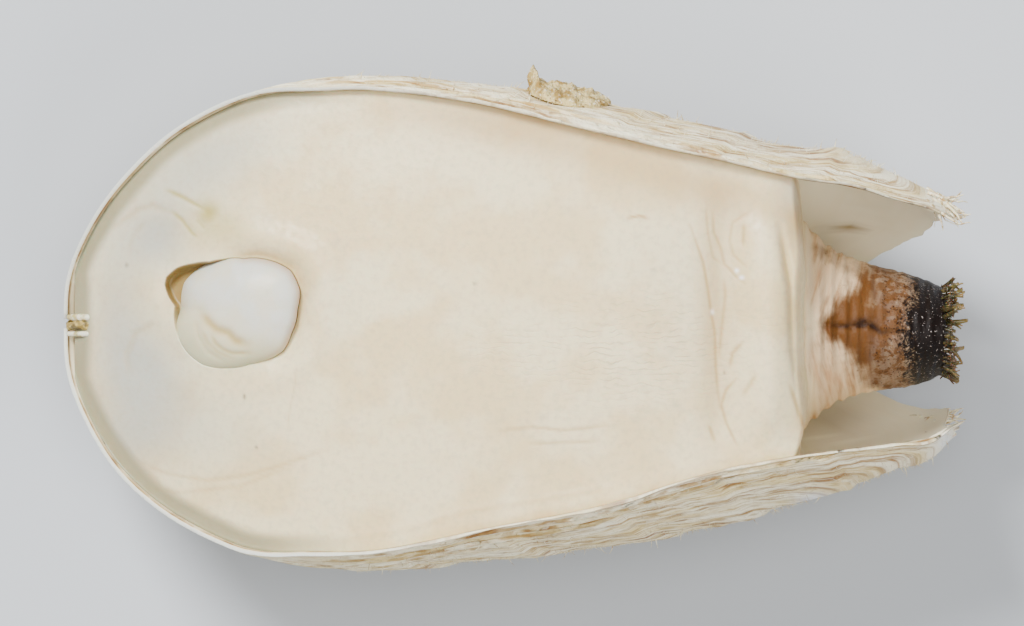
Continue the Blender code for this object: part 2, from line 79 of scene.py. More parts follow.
@dataclass(frozen=True)
class Picture:
    """The picture's frame, which places marks on the object."""

    mm_per_pixel: float = 0.033708
    front_pixel: float = 61.5
    front_x: float = -15.305
    middle_pixel: float = 323.65
    wide: int = 1024
    tall: int = 626

    def place(self, path: Any) -> np.ndarray:
        """Return x and y in millimetres for pixels.

        Args:
            path: Pixel columns and rows, as one pair or many.

        Returns:
            An array of the same shape.
        """
        pixels = np.asarray(path, float)
        x = (pixels[..., 0] - self.front_pixel) * self.mm_per_pixel + self.front_x
        y = (self.middle_pixel - pixels[..., 1]) * self.mm_per_pixel
        return np.stack((x, y), axis=-1)


PICTURE = Picture()


def linear(colour: str) -> tuple[float, float, float, float]:
    """Turn an sRGB hex colour to linear RGBA.

    Args:
        colour: The colour as "#RRGGBB".

    Returns:
        Four linear channels.
    """
    parts = [int(colour[i:i + 2], 16) / 255.0 for i in (1, 3, 5)]
    red, green, blue = (c / 12.92 if c <= 0.04045 else ((c + 0.055) / 1.055) ** 2.4 for c in parts)
    return red, green, blue, 1.0


def lattice(cell: np.ndarray, seed: int) -> np.ndarray:
    """Return a fixed random number from -1 to 1 for each whole-numbered cell.

    Args:
        cell: Whole numbers, three in the last axis.
        seed: Which set of numbers.

    Returns:
        One number for each cell.
    """
    mixed = cell[..., 0] * 374761393 + cell[..., 1] * 668265263 + cell[..., 2] * 1442695041 + seed * 974634777
    mixed = mixed & 0xFFFFFFFF
    mixed = ((mixed ^ (mixed >> 13)) * 1274126177) & 0xFFFFFFFF
    return ((mixed ^ (mixed >> 16)) & 0xFFFF) / 32767.5 - 1.0


def noise(points: np.ndarray, size: float, seed: int, octaves: int = 1) -> np.ndarray:
    """Return smooth noise from about -1 to 1.

    Args:
        points: Places, two or three numbers in the last axis.
        size: How far apart the highs and lows lie.
        seed: Which noise.
        octaves: How many layers, each half as large and half as strong.

    Returns:
        One number for each place.
    """
    at = np.asarray(points, float) / size
    if at.shape[-1] == 2:
        at = np.concatenate((at, np.zeros_like(at[..., :1])), axis=-1)
    total, strength, reach = 0.0, 1.0, 0.0
    for octave in range(octaves):
        low = np.floor(at).astype(np.int64)
        part = at - low
        part = part * part * (3.0 - 2.0 * part)
        value = 0.0
        for corner in np.ndindex(2, 2, 2):
            share = np.prod(np.where(np.array(corner) == 1, part, 1.0 - part), axis=-1)
            value = value + share * lattice(low + np.array(corner), seed + 17 * octave)
        total = total + value * strength
        reach += strength
        at = at * 2.0
        strength *= 0.5
    return total / reach


def step(value: np.ndarray, low: float, high: float) -> np.ndarray:
    """Return a smooth 0 to 1 step of value between low and high."""
    part = np.clip((value - low) / (high - low), 0.0, 1.0)
    return part * part * (3.0 - 2.0 * part)


def bell(value: np.ndarray, middle: float, width: float) -> np.ndarray:
    """Return a bell of height 1 round a middle."""
    return np.exp(-(((value - middle) / width) ** 2))


def line_distance(places: np.ndarray, path: np.ndarray) -> tuple[np.ndarray, np.ndarray]:
    """Measure how far places in the plane are from a line of straight runs.

    Args:
        places: Points, x and y in the last axis.
        path: The line's knots in millimetres.

    Returns:
        The distance of each place, and how far along the line its nearest point is, 0 to 1.
    """
    best = np.full(places.shape[:-1], 1e9)
    along = np.zeros(places.shape[:-1])
    runs = np.linalg.norm(np.diff(path, axis=0), axis=1)
    before = np.concatenate(((0.0,), np.cumsum(runs)))
    for number, (start, end) in enumerate(zip(path[:-1], path[1:])):
        run = end - start
        part = np.clip(((places - start) @ run) / (run @ run), 0.0, 1.0)
        away = np.linalg.norm(places - (start + part[..., None] * run), axis=-1)
        nearer = away < best
        best = np.where(nearer, away, best)
        along = np.where(nearer, (before[number] + part * runs[number]) / before[-1], along)
    return best, along


@dataclass(frozen=True)
class Crease:
    """A groove or ridge that follows a line of pixels."""

    path: Path
    width: float
    depth: float
    tint: float = 0.0

    def share(self, places: np.ndarray) -> np.ndarray:
        """Return how strongly the crease shows at places, fading at its ends."""
        away, along = line_distance(places, PICTURE.place(self.path))
        ends = np.clip(np.minimum(along, 1.0 - along) / 0.15, 0.0, 1.0)
        return np.exp(-((away / self.width) ** 2)) * (0.35 + 0.65 * ends)


@dataclass(frozen=True)
class Patch:
    """A soft oval patch round a pixel."""

    middle: tuple[float, float]
    half: tuple[float, float]
    amount: float
    turn: float = 0.0

    def share(self, places: np.ndarray) -> np.ndarray:
        """Return how strongly the patch shows at places."""
        offset = places - PICTURE.place(self.middle)
        angle = math.radians(self.turn)
        along = offset[..., 0] * math.cos(angle) + offset[..., 1] * math.sin(angle)
        across = offset[..., 1] * math.cos(angle) - offset[..., 0] * math.sin(angle)
        wide, tall = (size * PICTURE.mm_per_pixel for size in self.half)
        return self.amount * np.exp(-((along / wide) ** 2) - (across / tall) ** 2)


def most(marks: Sequence[Patch | Crease], places: np.ndarray) -> np.ndarray:
    """Return the strongest share of several marks at places."""
    shares = [mark.share(places) * (mark.tint if isinstance(mark, Crease) else 1.0) for mark in marks]
    return np.max(shares, axis=0) if shares else np.zeros(places.shape[:-1])


def make_object(name: str, points: np.ndarray, faces: Sequence[Sequence[int]]) -> bpy.types.Object:
    """Make a smooth mesh object whose faces look outwards.

    Args:
        name: The object's name.
        points: Its vertices in millimetres.
        faces: Vertex numbers of each face, all turned the same way, round a closed body.

    Returns:
        The new object.
    """
    mesh = bpy.data.meshes.new(name)
    mesh.from_pydata((points * MM).tolist(), [], faces)
    mesh.validate()
    made = bpy.data.objects.new(name, mesh)
    bpy.context.scene.collection.objects.link(made)
    mesh.calc_loop_triangles()
    corners = np.zeros(len(mesh.loop_triangles) * 3, int)
    mesh.loop_triangles.foreach_get("vertices", corners)
    a, b, c = np.moveaxis(points[corners.reshape(-1, 3)], 1, 0)
    if np.einsum("ij,ij->", a, np.cross(b, c)) < 0.0:
        mesh.flip_normals()
    mesh.polygons.foreach_set("use_smooth", [True] * len(mesh.polygons))
    return made


def lofted(name: str, rings: np.ndarray) -> bpy.types.Object:
    """Make a closed body from rings, each end closed on the middle of its last ring.

    Args:
        name: The object's name.
        rings: Points, ring by ring, in millimetres.

    Returns:
        The new object. Its vertices are the rings' points in order, then the two poles.
    """
    count, around = rings.shape[:2]
    points = np.concatenate((rings.reshape(-1, 3), rings[0].mean(0)[None], rings[-1].mean(0)[None]))
    here = np.arange(count * around).reshape(count, around)
    beside = np.roll(here, -1, axis=1)
    quads = np.stack((here[:-1], beside[:-1], beside[1:], here[1:]), axis=-1).reshape(-1, 4)
    first, last = count * around, count * around + 1
    faces = quads.tolist()
    faces += [(first, b, a) for a, b in zip(here[0].tolist(), beside[0].tolist())]
    faces += [(last, a, b) for a, b in zip(here[-1].tolist(), beside[-1].tolist())]
    return make_object(name, points, faces)


def tag(piece: bpy.types.Object, name: str, values: np.ndarray) -> None:
    """Store a number for each vertex, the poles taking the mean of what is missing.

    Args:
        piece: The object.
        name: The attribute's name.
        values: One number for each of its first vertices.
    """
    full = np.full(len(piece.data.vertices), float(np.mean(values)), np.float32)
    full[:values.size] = values.reshape(-1)
    layer = piece.data.attributes.new(name, "FLOAT", "POINT")
    layer.data.foreach_set("value", full)


def station(x: Any) -> np.ndarray:
    """Return the station of x: 0 at the blunt front end, 1 at the rear tips."""
    return np.cbrt((np.asarray(x, float) - Shell.FRONT_X) / Shell.LENGTH)


class Profile:
    """A smooth curve through a few knots of place and value."""

    def __init__(self, knots: Knots, by_station: bool = True) -> None:
        """Fit the curve.

        Args:
            knots: Places and values.
            by_station: Whether the places are x, to be turned to stations.
        """
        places, self.values = np.array(knots, float).T
        self.places = station(places) if by_station else places
        self.slopes = np.gradient(self.values, self.places)

    def __call__(self, place: Any) -> np.ndarray:
        """Return the curve's value at places."""
        place = np.clip(place, self.places[0], self.places[-1])
        low = np.clip(np.searchsorted(self.places, place) - 1, 0, len(self.places) - 2)
        width = self.places[low + 1] - self.places[low]
        u = (place - self.places[low]) / width
        start, end = self.values[low], self.values[low + 1]
        leaving, arriving = self.slopes[low] * width, self.slopes[low + 1] * width
        return (start * (2 * u**3 - 3 * u**2 + 1) + leaving * (u**3 - 2 * u**2 + u)
                + end * (3 * u**2 - 2 * u**3) + arriving * (u**3 - u**2))


class Shell:
    """Sizes that both valves share, the same as in the solid model."""

    LENGTH = 30.07
    FRONT_X = -15.305
    REAR_X = 15.305
    WIDEST_HALF = 8.34
    WALL = 0.36
    UMBO_X = -12.2
    LEDGES = (0.34, 0.5, 0.62, 0.715, 0.79, 0.85, 0.9, 0.95)
    LEDGE_HEIGHT = 0.2
    HINGE_HALF_GAP = ((-15.305, 0.16), (-7.0, 0.16), (-3.0, 0.07), (14.77, 0.05))
    BACK_Z = ((-15.305, 5.0), (-14.9, 3.75), (-14.2, 2.75), (-13.0, 1.85), (-11.0, 1.0), (-8.5, 0.4),
              (-5.5, 0.0), (-2.0, -0.12), (3.0, -0.12), (6.5, 0.02), (9.5, 0.4), (12.0, 0.9), (14.77, 1.9))
    MARGIN_Z = ((-15.305, 5.0), (-14.9, 5.6), (-14.2, 6.2), (-13.0, 6.95), (-11.0, 8.0), (-8.5, 9.1),
                (-5.0, 10.3), (-1.0, 11.2), (4.0, 11.6), (9.0, 11.2), (12.0, 10.5), (14.77, 9.4))


BACK = Profile(Shell.BACK_Z)
MARGIN = Profile(Shell.MARGIN_Z)
HALF_GAP = Profile(Shell.HINGE_HALF_GAP)


@dataclass
class ValveForm:
    """One shell half as a surface of elliptical sections."""

    side: Side
    half_width: Knots
    turn: Knots
    rear: Knots
    width_at: Profile = field(init=False)
    turn_at: Profile = field(init=False)
    rear_at: Profile = field(init=False)

    def __post_init__(self) -> None:
        """Fit the curves."""
        self.width_at = Profile(self.half_width)
        self.turn_at = Profile(self.turn)
        self.rear_at = Profile(self.rear, by_station=False)

    def point(self, r: np.ndarray, angle: np.ndarray) -> np.ndarray:
        """Return points of the outer surface at stations and section angles."""
        turn = np.radians(self.turn_at(r))
        flare = np.where(turn < math.pi / 2, np.sin(turn), 1.0)
        wide = np.maximum(self.width_at(r), 0.0) / flare
        tall = (MARGIN(r) - BACK(r)) / (1.0 - np.cos(turn))
        gap = HALF_GAP(r)
        y = gap + wide * (1.0 - gap / Shell.WIDEST_HALF) * np.sin(angle)
        x = Shell.FRONT_X + Shell.LENGTH * np.asarray(r) ** 3
        return np.stack((x, self.side.value * y, BACK(r) + tall * (1.0 - np.cos(angle))), axis=-1)

    def normal(self, r: np.ndarray, angle: np.ndarray) -> np.ndarray:
        """Return outward normals of the outer surface."""
        small = 1e-4
        inner = np.maximum(r - small, 1e-6)
        by_r = self.point(inner + 2 * small, angle) - self.point(inner, angle)
        by_angle = self.point(r, angle + small) - self.point(r, angle - small)
        facing = np.cross(by_angle, by_r) * self.side.value
        size = np.linalg.norm(facing, axis=-1, keepdims=True)
        return np.where(size > 1e-9, facing / np.maximum(size, 1e-9), np.array((-1.0, 0.0, 0.0)))

    def offset(self, r: Any, angle: Any, distance: Any) -> np.ndarray:
        """Return points moved off the outer surface, outwards where distance is positive."""
        r, angle, distance = np.broadcast_arrays(*(np.asarray(v, float) for v in (r, angle, distance)))
        return self.point(r, angle) + self.normal(r, angle) * distance[..., None]

    def edge(self, margin_count: int, rear_count: int) -> tuple[np.ndarray, np.ndarray]:
        """Divide the free edge evenly.

        Args:
            margin_count: Steps along the gape's margin, from the front end to the rear tip.
            rear_count: Steps along the slanted rear edge, from the tip to the back.

        Returns:
            Plane points of the growth fan, and how far along the edge each lies in millimetres.
        """
        r = np.linspace(0.0, 1.0, 900)
        margin, margin_mm = self.even(r, np.radians(self.turn_at(r)), margin_count)
        angle = np.linspace(math.radians(self.turn_at(1.0)), 0.0, 500)
        rear, rear_mm = self.even(station(self.rear_at(np.degrees(angle))), angle, rear_count)
        return np.concatenate((margin, rear[1:])), np.concatenate((margin_mm, margin_mm[-1] + rear_mm[1:]))

    def even(self, r: np.ndarray, angle: np.ndarray, count: int) -> tuple[np.ndarray, np.ndarray]:
        """Return count + 1 plane points at even steps of length along a line on the surface."""
        steps = np.linalg.norm(np.diff(self.point(r, angle), axis=0), axis=1)
        length = np.concatenate(((0.0,), np.cumsum(steps)))
        wanted = np.linspace(0.0, length[-1], count + 1)
        quarter = angle / np.radians(self.turn_at(r)) * math.pi / 2
        plane = np.stack((r * np.cos(quarter), r * np.sin(quarter)))
        return np.array([np.interp(wanted, length, line) for line in plane]).T, wanted

    def fan(self, edge_point: np.ndarray, growth: np.ndarray) -> tuple[np.ndarray, np.ndarray]:
        """Return station and section angle of a point between the umbo, growth 0, and the edge, 1."""
        umbo = np.array((float(station(Shell.UMBO_X)), 0.0))
        a, b = np.moveaxis(umbo + (edge_point - umbo) * np.asarray(growth)[..., None], -1, 0)
        r = np.hypot(a, b)
        return r, np.arctan2(b, a) / (math.pi / 2) * np.radians(self.turn_at(r))


LEFT_FORM = ValveForm(
    Side.LEFT,
    half_width=((-15.305, 0.0), (-14.6, 2.9), (-13.2, 4.9), (-11.2, 6.68), (-8.86, 7.77), (-5.8, 8.34),
                (-1.4, 8.13), (3.05, 7.41), (7.17, 6.55), (9.6, 5.97), (11.3, 5.82), (12.63, 5.15),
                (14.18, 4.3), (14.77, 3.8)),
    turn=((-15.305, 62.0), (-13.0, 66.0), (-10.6, 80.0), (-8.5, 96.0), (-7.2, 105.0), (-4.9, 109.0),
          (-1.2, 114.0), (2.0, 119.5), (4.6, 122.5), (7.6, 124.4), (9.6, 125.4), (11.1, 127.5),
          (13.0, 124.0), (14.77, 117.0)),
    rear=((0.0, 9.2), (22.0, 12.0), (40.0, 13.7), (52.0, 14.25), (70.0, 14.52), (95.0, 14.68), (135.0, 14.77)),
)
RIGHT_FORM = ValveForm(
    Side.RIGHT,
    half_width=((-15.305, 0.0), (-14.6, 3.1), (-13.2, 5.2), (-11.2, 6.76), (-8.86, 7.77), (-5.8, 8.33),
                (-1.4, 8.08), (3.05, 7.54), (7.17, 6.8), (9.6, 6.12), (11.3, 5.54), (12.63, 5.05),
                (14.18, 4.42), (14.77, 3.77)),
    turn=((-15.305, 62.0), (-13.0, 66.0), (-10.6, 80.0), (-8.5, 99.0), (-7.2, 108.0), (-4.3, 113.8),
          (-1.2, 120.5), (3.8, 127.8), (5.7, 132.5), (7.8, 134.8), (10.1, 133.0), (12.3, 127.8),
          (14.77, 118.0)),
    rear=((0.0, 9.2), (24.0, 12.0), (38.0, 13.7), (45.0, 14.45), (62.0, 14.68), (95.0, 14.75), (135.0, 14.77)),
)


def add(tree: bpy.types.NodeTree, kind: str, inputs: Mapping[Any, Any] | None = None, **settings: Any) -> Any:
    """Add a node with its settings and links.

    Args:
        tree: The node tree.
        kind: The node's type name.
        inputs: Values or sockets for its inputs, by name or number.
        settings: Values for its properties.

    Returns:
        The node.
    """
    node = tree.nodes.new(kind)
    for name, value in settings.items():
        setattr(node, name, value)
    for name, value in (inputs or {}).items():
        if isinstance(value, bpy.types.NodeSocket):
            tree.links.new(value, node.inputs[name])
        else:
            node.inputs[name].default_value = value
    return node


class Paint:
    """A material's node tree with the few steps that all finishes share."""

    def __init__(self, name: str) -> None:
        """Make the material and find its shader."""
        self.material = bpy.data.materials.new(name)
        self.material.use_nodes = True
        self.tree = self.material.node_tree
        self.shader = self.tree.nodes["Principled BSDF"]
        self.place = add(self.tree, "ShaderNodeTexCoord").outputs["Object"]

    def mark(self, name: str) -> bpy.types.NodeSocket:
        """Return a number stored on the piece's vertices."""
        return add(self.tree, "ShaderNodeAttribute", attribute_name=name).outputs["Fac"]

    def speckle(self, size: float, seed: float, detail: float = 3.0, at: Any = None) -> bpy.types.NodeSocket:
        """Return noise from 0 to 1 whose grains are size millimetres across.

        Args:
            size: The real size of the pattern.
            seed: Moves the pattern to a stretch of its own.
            detail: How many finer layers it has.
            at: Where to read it, when that isn't the piece's own place.

        Returns:
            The noise.
        """
        moved = add(self.tree, "ShaderNodeVectorMath", {0: at or self.place, 1: (seed * MM,) * 3})
        return add(self.tree, "ShaderNodeTexNoise",
                   {"Vector": moved.outputs[0], "Scale": 1.0 / (size * MM), "Detail": detail}).outputs["Fac"]

    def ramp(self, value: Any, low: float, high: float, top: float = 1.0, bottom: float = 0.0) -> Any:
        """Return value turned from low..high to bottom..top, smoothly."""
        return add(self.tree, "ShaderNodeMapRange", {0: value, 1: low, 2: high, 3: bottom, 4: top},
                   interpolation_type="SMOOTHSTEP").outputs[0]

    def math(self, operation: str, a: Any, b: Any = 0.0) -> bpy.types.NodeSocket:
        """Return the result of one sum."""
        return add(self.tree, "ShaderNodeMath", {0: a, 1: b}, operation=operation).outputs[0]

    def weighed(self, first: Any, first_weight: float, second: Any, second_weight: float) -> Any:
        """Return the sum of two values, each times its weight."""
        return self.math("ADD", self.math("MULTIPLY", first, first_weight),
                         self.math("MULTIPLY", second, second_weight))

    def mix(self, share: Any, under: Any, over: Any) -> bpy.types.NodeSocket:
        """Return one colour laid over another.

        Args:
            share: How much of the upper colour shows.
            under: The lower colour, a socket or a hex value.
            over: The upper colour, a socket or a hex value.

        Returns:
            The colour.
        """
        colours = [linear(c) if isinstance(c, str) else c for c in (under, over)]
        return add(self.tree, "ShaderNodeMix", {0: share, 6: colours[0], 7: colours[1]},
                   data_type="RGBA").outputs[2]

    def bump(self, height: Any, depth: float, under: Any = None) -> bpy.types.NodeSocket:
        """Return a normal bent by a height of depth millimetres."""
        inputs = {"Strength": 1.0, "Distance": depth * MM, "Height": height}
        if under is not None:
            inputs["Normal"] = under
        return add(self.tree, "ShaderNodeBump", inputs).outputs[0]

    def finish(self, colour: Any, normal: Any, roughness: Any, **plain: float) -> bpy.types.Material:
        """Plug the finish into the shader.

        Args:
            colour: The base colour.
            normal: The bent normal.
            roughness: Roughness, a number or a socket.
            plain: Shader sockets that are the same all over, by name with _ for a space.

        Returns:
            The material.
        """
        self.tree.links.new(colour, self.shader.inputs["Base Color"])
        self.tree.links.new(normal, self.shader.inputs["Normal"])
        if isinstance(roughness, bpy.types.NodeSocket):
            self.tree.links.new(roughness, self.shader.inputs["Roughness"])
        else:
            self.shader.inputs["Roughness"].default_value = roughness
        for name, value in plain.items():
            self.shader.inputs[name.replace("_", " ")].default_value = value
        return self.material


@dataclass(frozen=True)
class ShellLime:
    """Aragonite shell: chalky, flaky growth lamellae outside, a white lip, a porcelain lining."""

    cream: str = "#E2CE96"
    chalk: str = "#F6EDCE"
    tan: str = "#A8843F"
    rust: str = "#80521C"
    bluish: str = "#E6EAEE"
    lip: str = "#CBCDC2"
    lining: str = "#EFE2C2"
    lining_grey: str = "#E2D5B2"
    # Painted shade for the lining where the valve's hollow lies in shade
    veil: str = "#9C8C76"
    smudge: str = "#7E6120"

    def material(self) -> bpy.types.Material:
        """Return the material.

        Returns:
            One that reads the valve's length, growth line, lining and mark attributes.
        """
        paint = Paint("shell_aragonite")
        across, along = paint.mark("across_mm"), paint.mark("length_mm")
        lining, lip = paint.mark("lining"), paint.mark("lip")
        # Growth lines run round the shell, so streaks are long along the edge and fine across it
        streak_at = add(paint.tree, "ShaderNodeCombineXYZ",
                        {0: paint.math("MULTIPLY", along, 0.1 * MM), 1: paint.math("MULTIPLY", across, MM)})
        streaks = paint.speckle(0.2, 4.0, 4.0, streak_at.outputs[0])
        wide_streaks = paint.speckle(0.5, 9.0, 3.0, streak_at.outputs[0])
        blotches = paint.speckle(0.9, 2.0, 4.0)
        grit = paint.speckle(0.09, 5.0, 2.0)
        worn = paint.mark("worn")
        colour = paint.mix(paint.ramp(wide_streaks, 0.42, 0.56), self.cream, self.chalk)
        colour = paint.mix(paint.ramp(streaks, 0.49, 0.6, 0.8), colour, self.tan)
        creviced = paint.math("MULTIPLY", paint.ramp(worn, 0.45, 0.05), paint.ramp(wide_streaks, 0.6, 0.42))
        colour = paint.mix(paint.math("MULTIPLY", creviced, 0.8), colour, self.tan)
        rusty = paint.math("MULTIPLY", paint.ramp(streaks, 0.55, 0.63), paint.ramp(blotches, 0.46, 0.58, 0.85))
        colour = paint.mix(rusty, colour, self.rust)
        threads = paint.speckle(0.07, 14.0, 3.0, streak_at.outputs[0])
        colour = paint.mix(paint.ramp(threads, 0.52, 0.62, 0.55), colour, self.tan)
        colour = paint.mix(paint.ramp(threads, 0.46, 0.38, 0.6), colour, self.chalk)
        colour = paint.mix(paint.ramp(worn, 0.72, 1.0, 0.5), colour, self.chalk)
        stained = paint.math("MULTIPLY", paint.mark("stain"), paint.ramp(streaks, 0.4, 0.56))
        colour = paint.mix(stained, colour, self.rust)
        colour = paint.mix(paint.ramp(grit, 0.6, 0.7, 0.35), colour, self.tan)
        colour = paint.mix(paint.mark("smooth"), colour, self.chalk)
        colour = paint.mix(paint.mark("chalky"), colour, self.bluish)
        colour = paint.mix(lip, colour, self.lip)
        inside = paint.mix(paint.ramp(blotches, 0.4, 0.7), self.lining, self.lining_grey)
        rays = paint.speckle(0.16, 12.0, 4.0, streak_at.outputs[0])
        inside = paint.mix(paint.ramp(rays, 0.45, 0.62, 0.3), inside, self.cream)
        # Painted light: the lining is lifted towards chalk white where its hollow lies in shade
        inside = paint.mix(paint.mark("painted_light"), inside, self.chalk)
        # Painted shade on the lining
        inside = paint.mix(paint.mark("lining_shade"), inside, self.veil)
        inside = paint.mix(paint.mark("smudge"), inside, self.smudge)
        inside = paint.mix(paint.mark("scratch"), inside, self.chalk)
        colour = paint.mix(lining, colour, inside)
        line = paint.mark("margin_line")
        colour = paint.mix(paint.math("MULTIPLY", line, paint.ramp(blotches, 0.3, 0.5)), colour, self.tan)
        colour = paint.mix(paint.math("MULTIPLY", line, paint.ramp(blotches, 0.5, 0.6)), colour, self.rust)
        rough = paint.ramp(lining, 0.0, 1.0, 0.34, 0.72)
        outside = paint.math("SUBTRACT", 1.0, lining)
        relief = paint.math("MULTIPLY", paint.math("ADD", streaks, paint.math("MULTIPLY", grit, 0.5)), outside)
        normal = paint.bump(relief, 0.07)
        normal = paint.bump(rays, 0.008, normal)
        return paint.finish(colour, normal, rough, IOR=1.53, Subsurface_Weight=0.08, Subsurface_Scale=0.3 * MM)


@dataclass(frozen=True)
class MantleSkin:
    """Preserved mantle: wet, slightly see-through cream skin that scatters light below itself."""

    cream: str = "#E6D7AC"
    warm: str = "#DEC896"
    bluish: str = "#A9ABA2"
    tan: str = "#AE8442"
    wrinkle: str = "#A89A80"
    olive: str = "#A6964E"
    hole: str = "#8C7340"
    band: str = "#968E6E"
    fleck: str = "#3A342C"
    painted_glint: str = "#F6F4EE"

    def material(self) -> bpy.types.Material:
        """Return the material.

        Returns:
            One that reads the mantle's tint attributes.
        """
        paint = Paint("mantle_skin")
        cloud = paint.speckle(2.6, 1.0, 3.0)
        mottle = paint.speckle(0.22, 3.0, 3.0)
        colour = paint.mix(paint.ramp(cloud, 0.4, 0.6), self.cream, self.warm)
        # Bluish grey where the skin is thin and see-through; one patch at the rear corner is painted shade
        colour = paint.mix(paint.mark("bluish"), colour, self.bluish)
        # The strip beside the front rim: the wall's see-through grey with painted shade
        colour = paint.mix(paint.mark("band"), colour, self.band)
        colour = paint.mix(paint.mark("shade"), colour, self.tan)
        colour = paint.mix(paint.ramp(mottle, 0.4, 0.75, 0.22), colour, self.wrinkle)
        # Wavy wrinkles about 0.2 mm apart, drawn as warped bands that run along the shell
        warp = paint.speckle(0.6, 6.0, 2.0)
        x, y, _ = add(paint.tree, "ShaderNodeSeparateXYZ", {0: paint.place}).outputs
        across = paint.math("ADD", y, paint.math("MULTIPLY", warp, 0.55 * MM))
        bands = paint.math("SINE", paint.math("MULTIPLY", across, 2.0 * math.pi / (0.21 * MM)))
        broken = paint.ramp(paint.speckle(0.45, 8.0, 2.0), 0.36, 0.6)
        lines = paint.math("MULTIPLY", paint.ramp(bands, 0.45, 1.0), broken)
        lines = paint.math("MULTIPLY", lines, paint.mark("wrinkled"))
        colour = paint.mix(paint.math("MULTIPLY", lines, 0.3), colour, self.wrinkle)
        colour = paint.mix(paint.mark("olive"), colour, self.olive)
        # Creases are tinted tan; the line round the foot's top right is painted shadow
        colour = paint.mix(paint.mark("crease"), colour, self.tan)
        # Painted shade along the skin's sides, where it meets the valves in the rear half
        colour = paint.mix(paint.math("MULTIPLY", paint.mark("beside"), 0.6), colour, self.tan)
        colour = paint.mix(paint.mark("spot"), colour, self.wrinkle)
        colour = paint.mix(paint.mark("fleck"), colour, self.fleck)
        # Painted highlights: small white glints on the wet skin
        colour = paint.mix(paint.mark("painted_glint"), colour, self.painted_glint)
        # The tissue deep in the foot's hole: its own tan with painted shade of the recess
        colour = paint.mix(paint.mark("pocket"), colour, self.hole)
        normal = paint.bump(paint.math("SUBTRACT", mottle, lines), 0.012)
        rough = paint.ramp(mottle, 0.3, 0.7, 0.5, 0.36)
        return paint.finish(colour, normal, rough, IOR=1.4, Subsurface_Weight=0.3, Subsurface_Scale=0.6 * MM)


@dataclass(frozen=True)
class FootFlesh:
    """Foot muscle: smooth, dense and bluish white, with tan in its folds."""

    white: str = "#C9C9BE"
    cream: str = "#D0C6A6"
    grey: str = "#BDB893"
    tan: str = "#B49C62"
    shadow: str = "#A98A6C"

    def material(self) -> bpy.types.Material:
        """Return the material.

        Returns:
            One that reads the foot's tint attributes.
        """
        paint = Paint("foot_flesh")
        cloud, mottle = paint.speckle(1.2, 5.0, 3.0), paint.speckle(0.15, 2.0, 3.0)
        colour = paint.mix(paint.mark("lower"), self.white, self.cream)
        colour = paint.mix(paint.ramp(cloud, 0.45, 0.65, 0.5), colour, self.cream)
        colour = paint.mix(paint.mark("veil"), colour, self.grey)
        colour = paint.mix(paint.mark("crease"), colour, self.tan)
        # Painted shade along the foot's right edge
        colour = paint.mix(paint.mark("edge"), colour, self.shadow)
        colour = paint.mix(paint.ramp(mottle, 0.5, 0.8, 0.2), colour, self.grey)
        normal = paint.bump(mottle, 0.006)
        return paint.finish(colour, normal, 0.38, IOR=1.4, Subsurface_Weight=0.35, Subsurface_Scale=0.6 * MM)


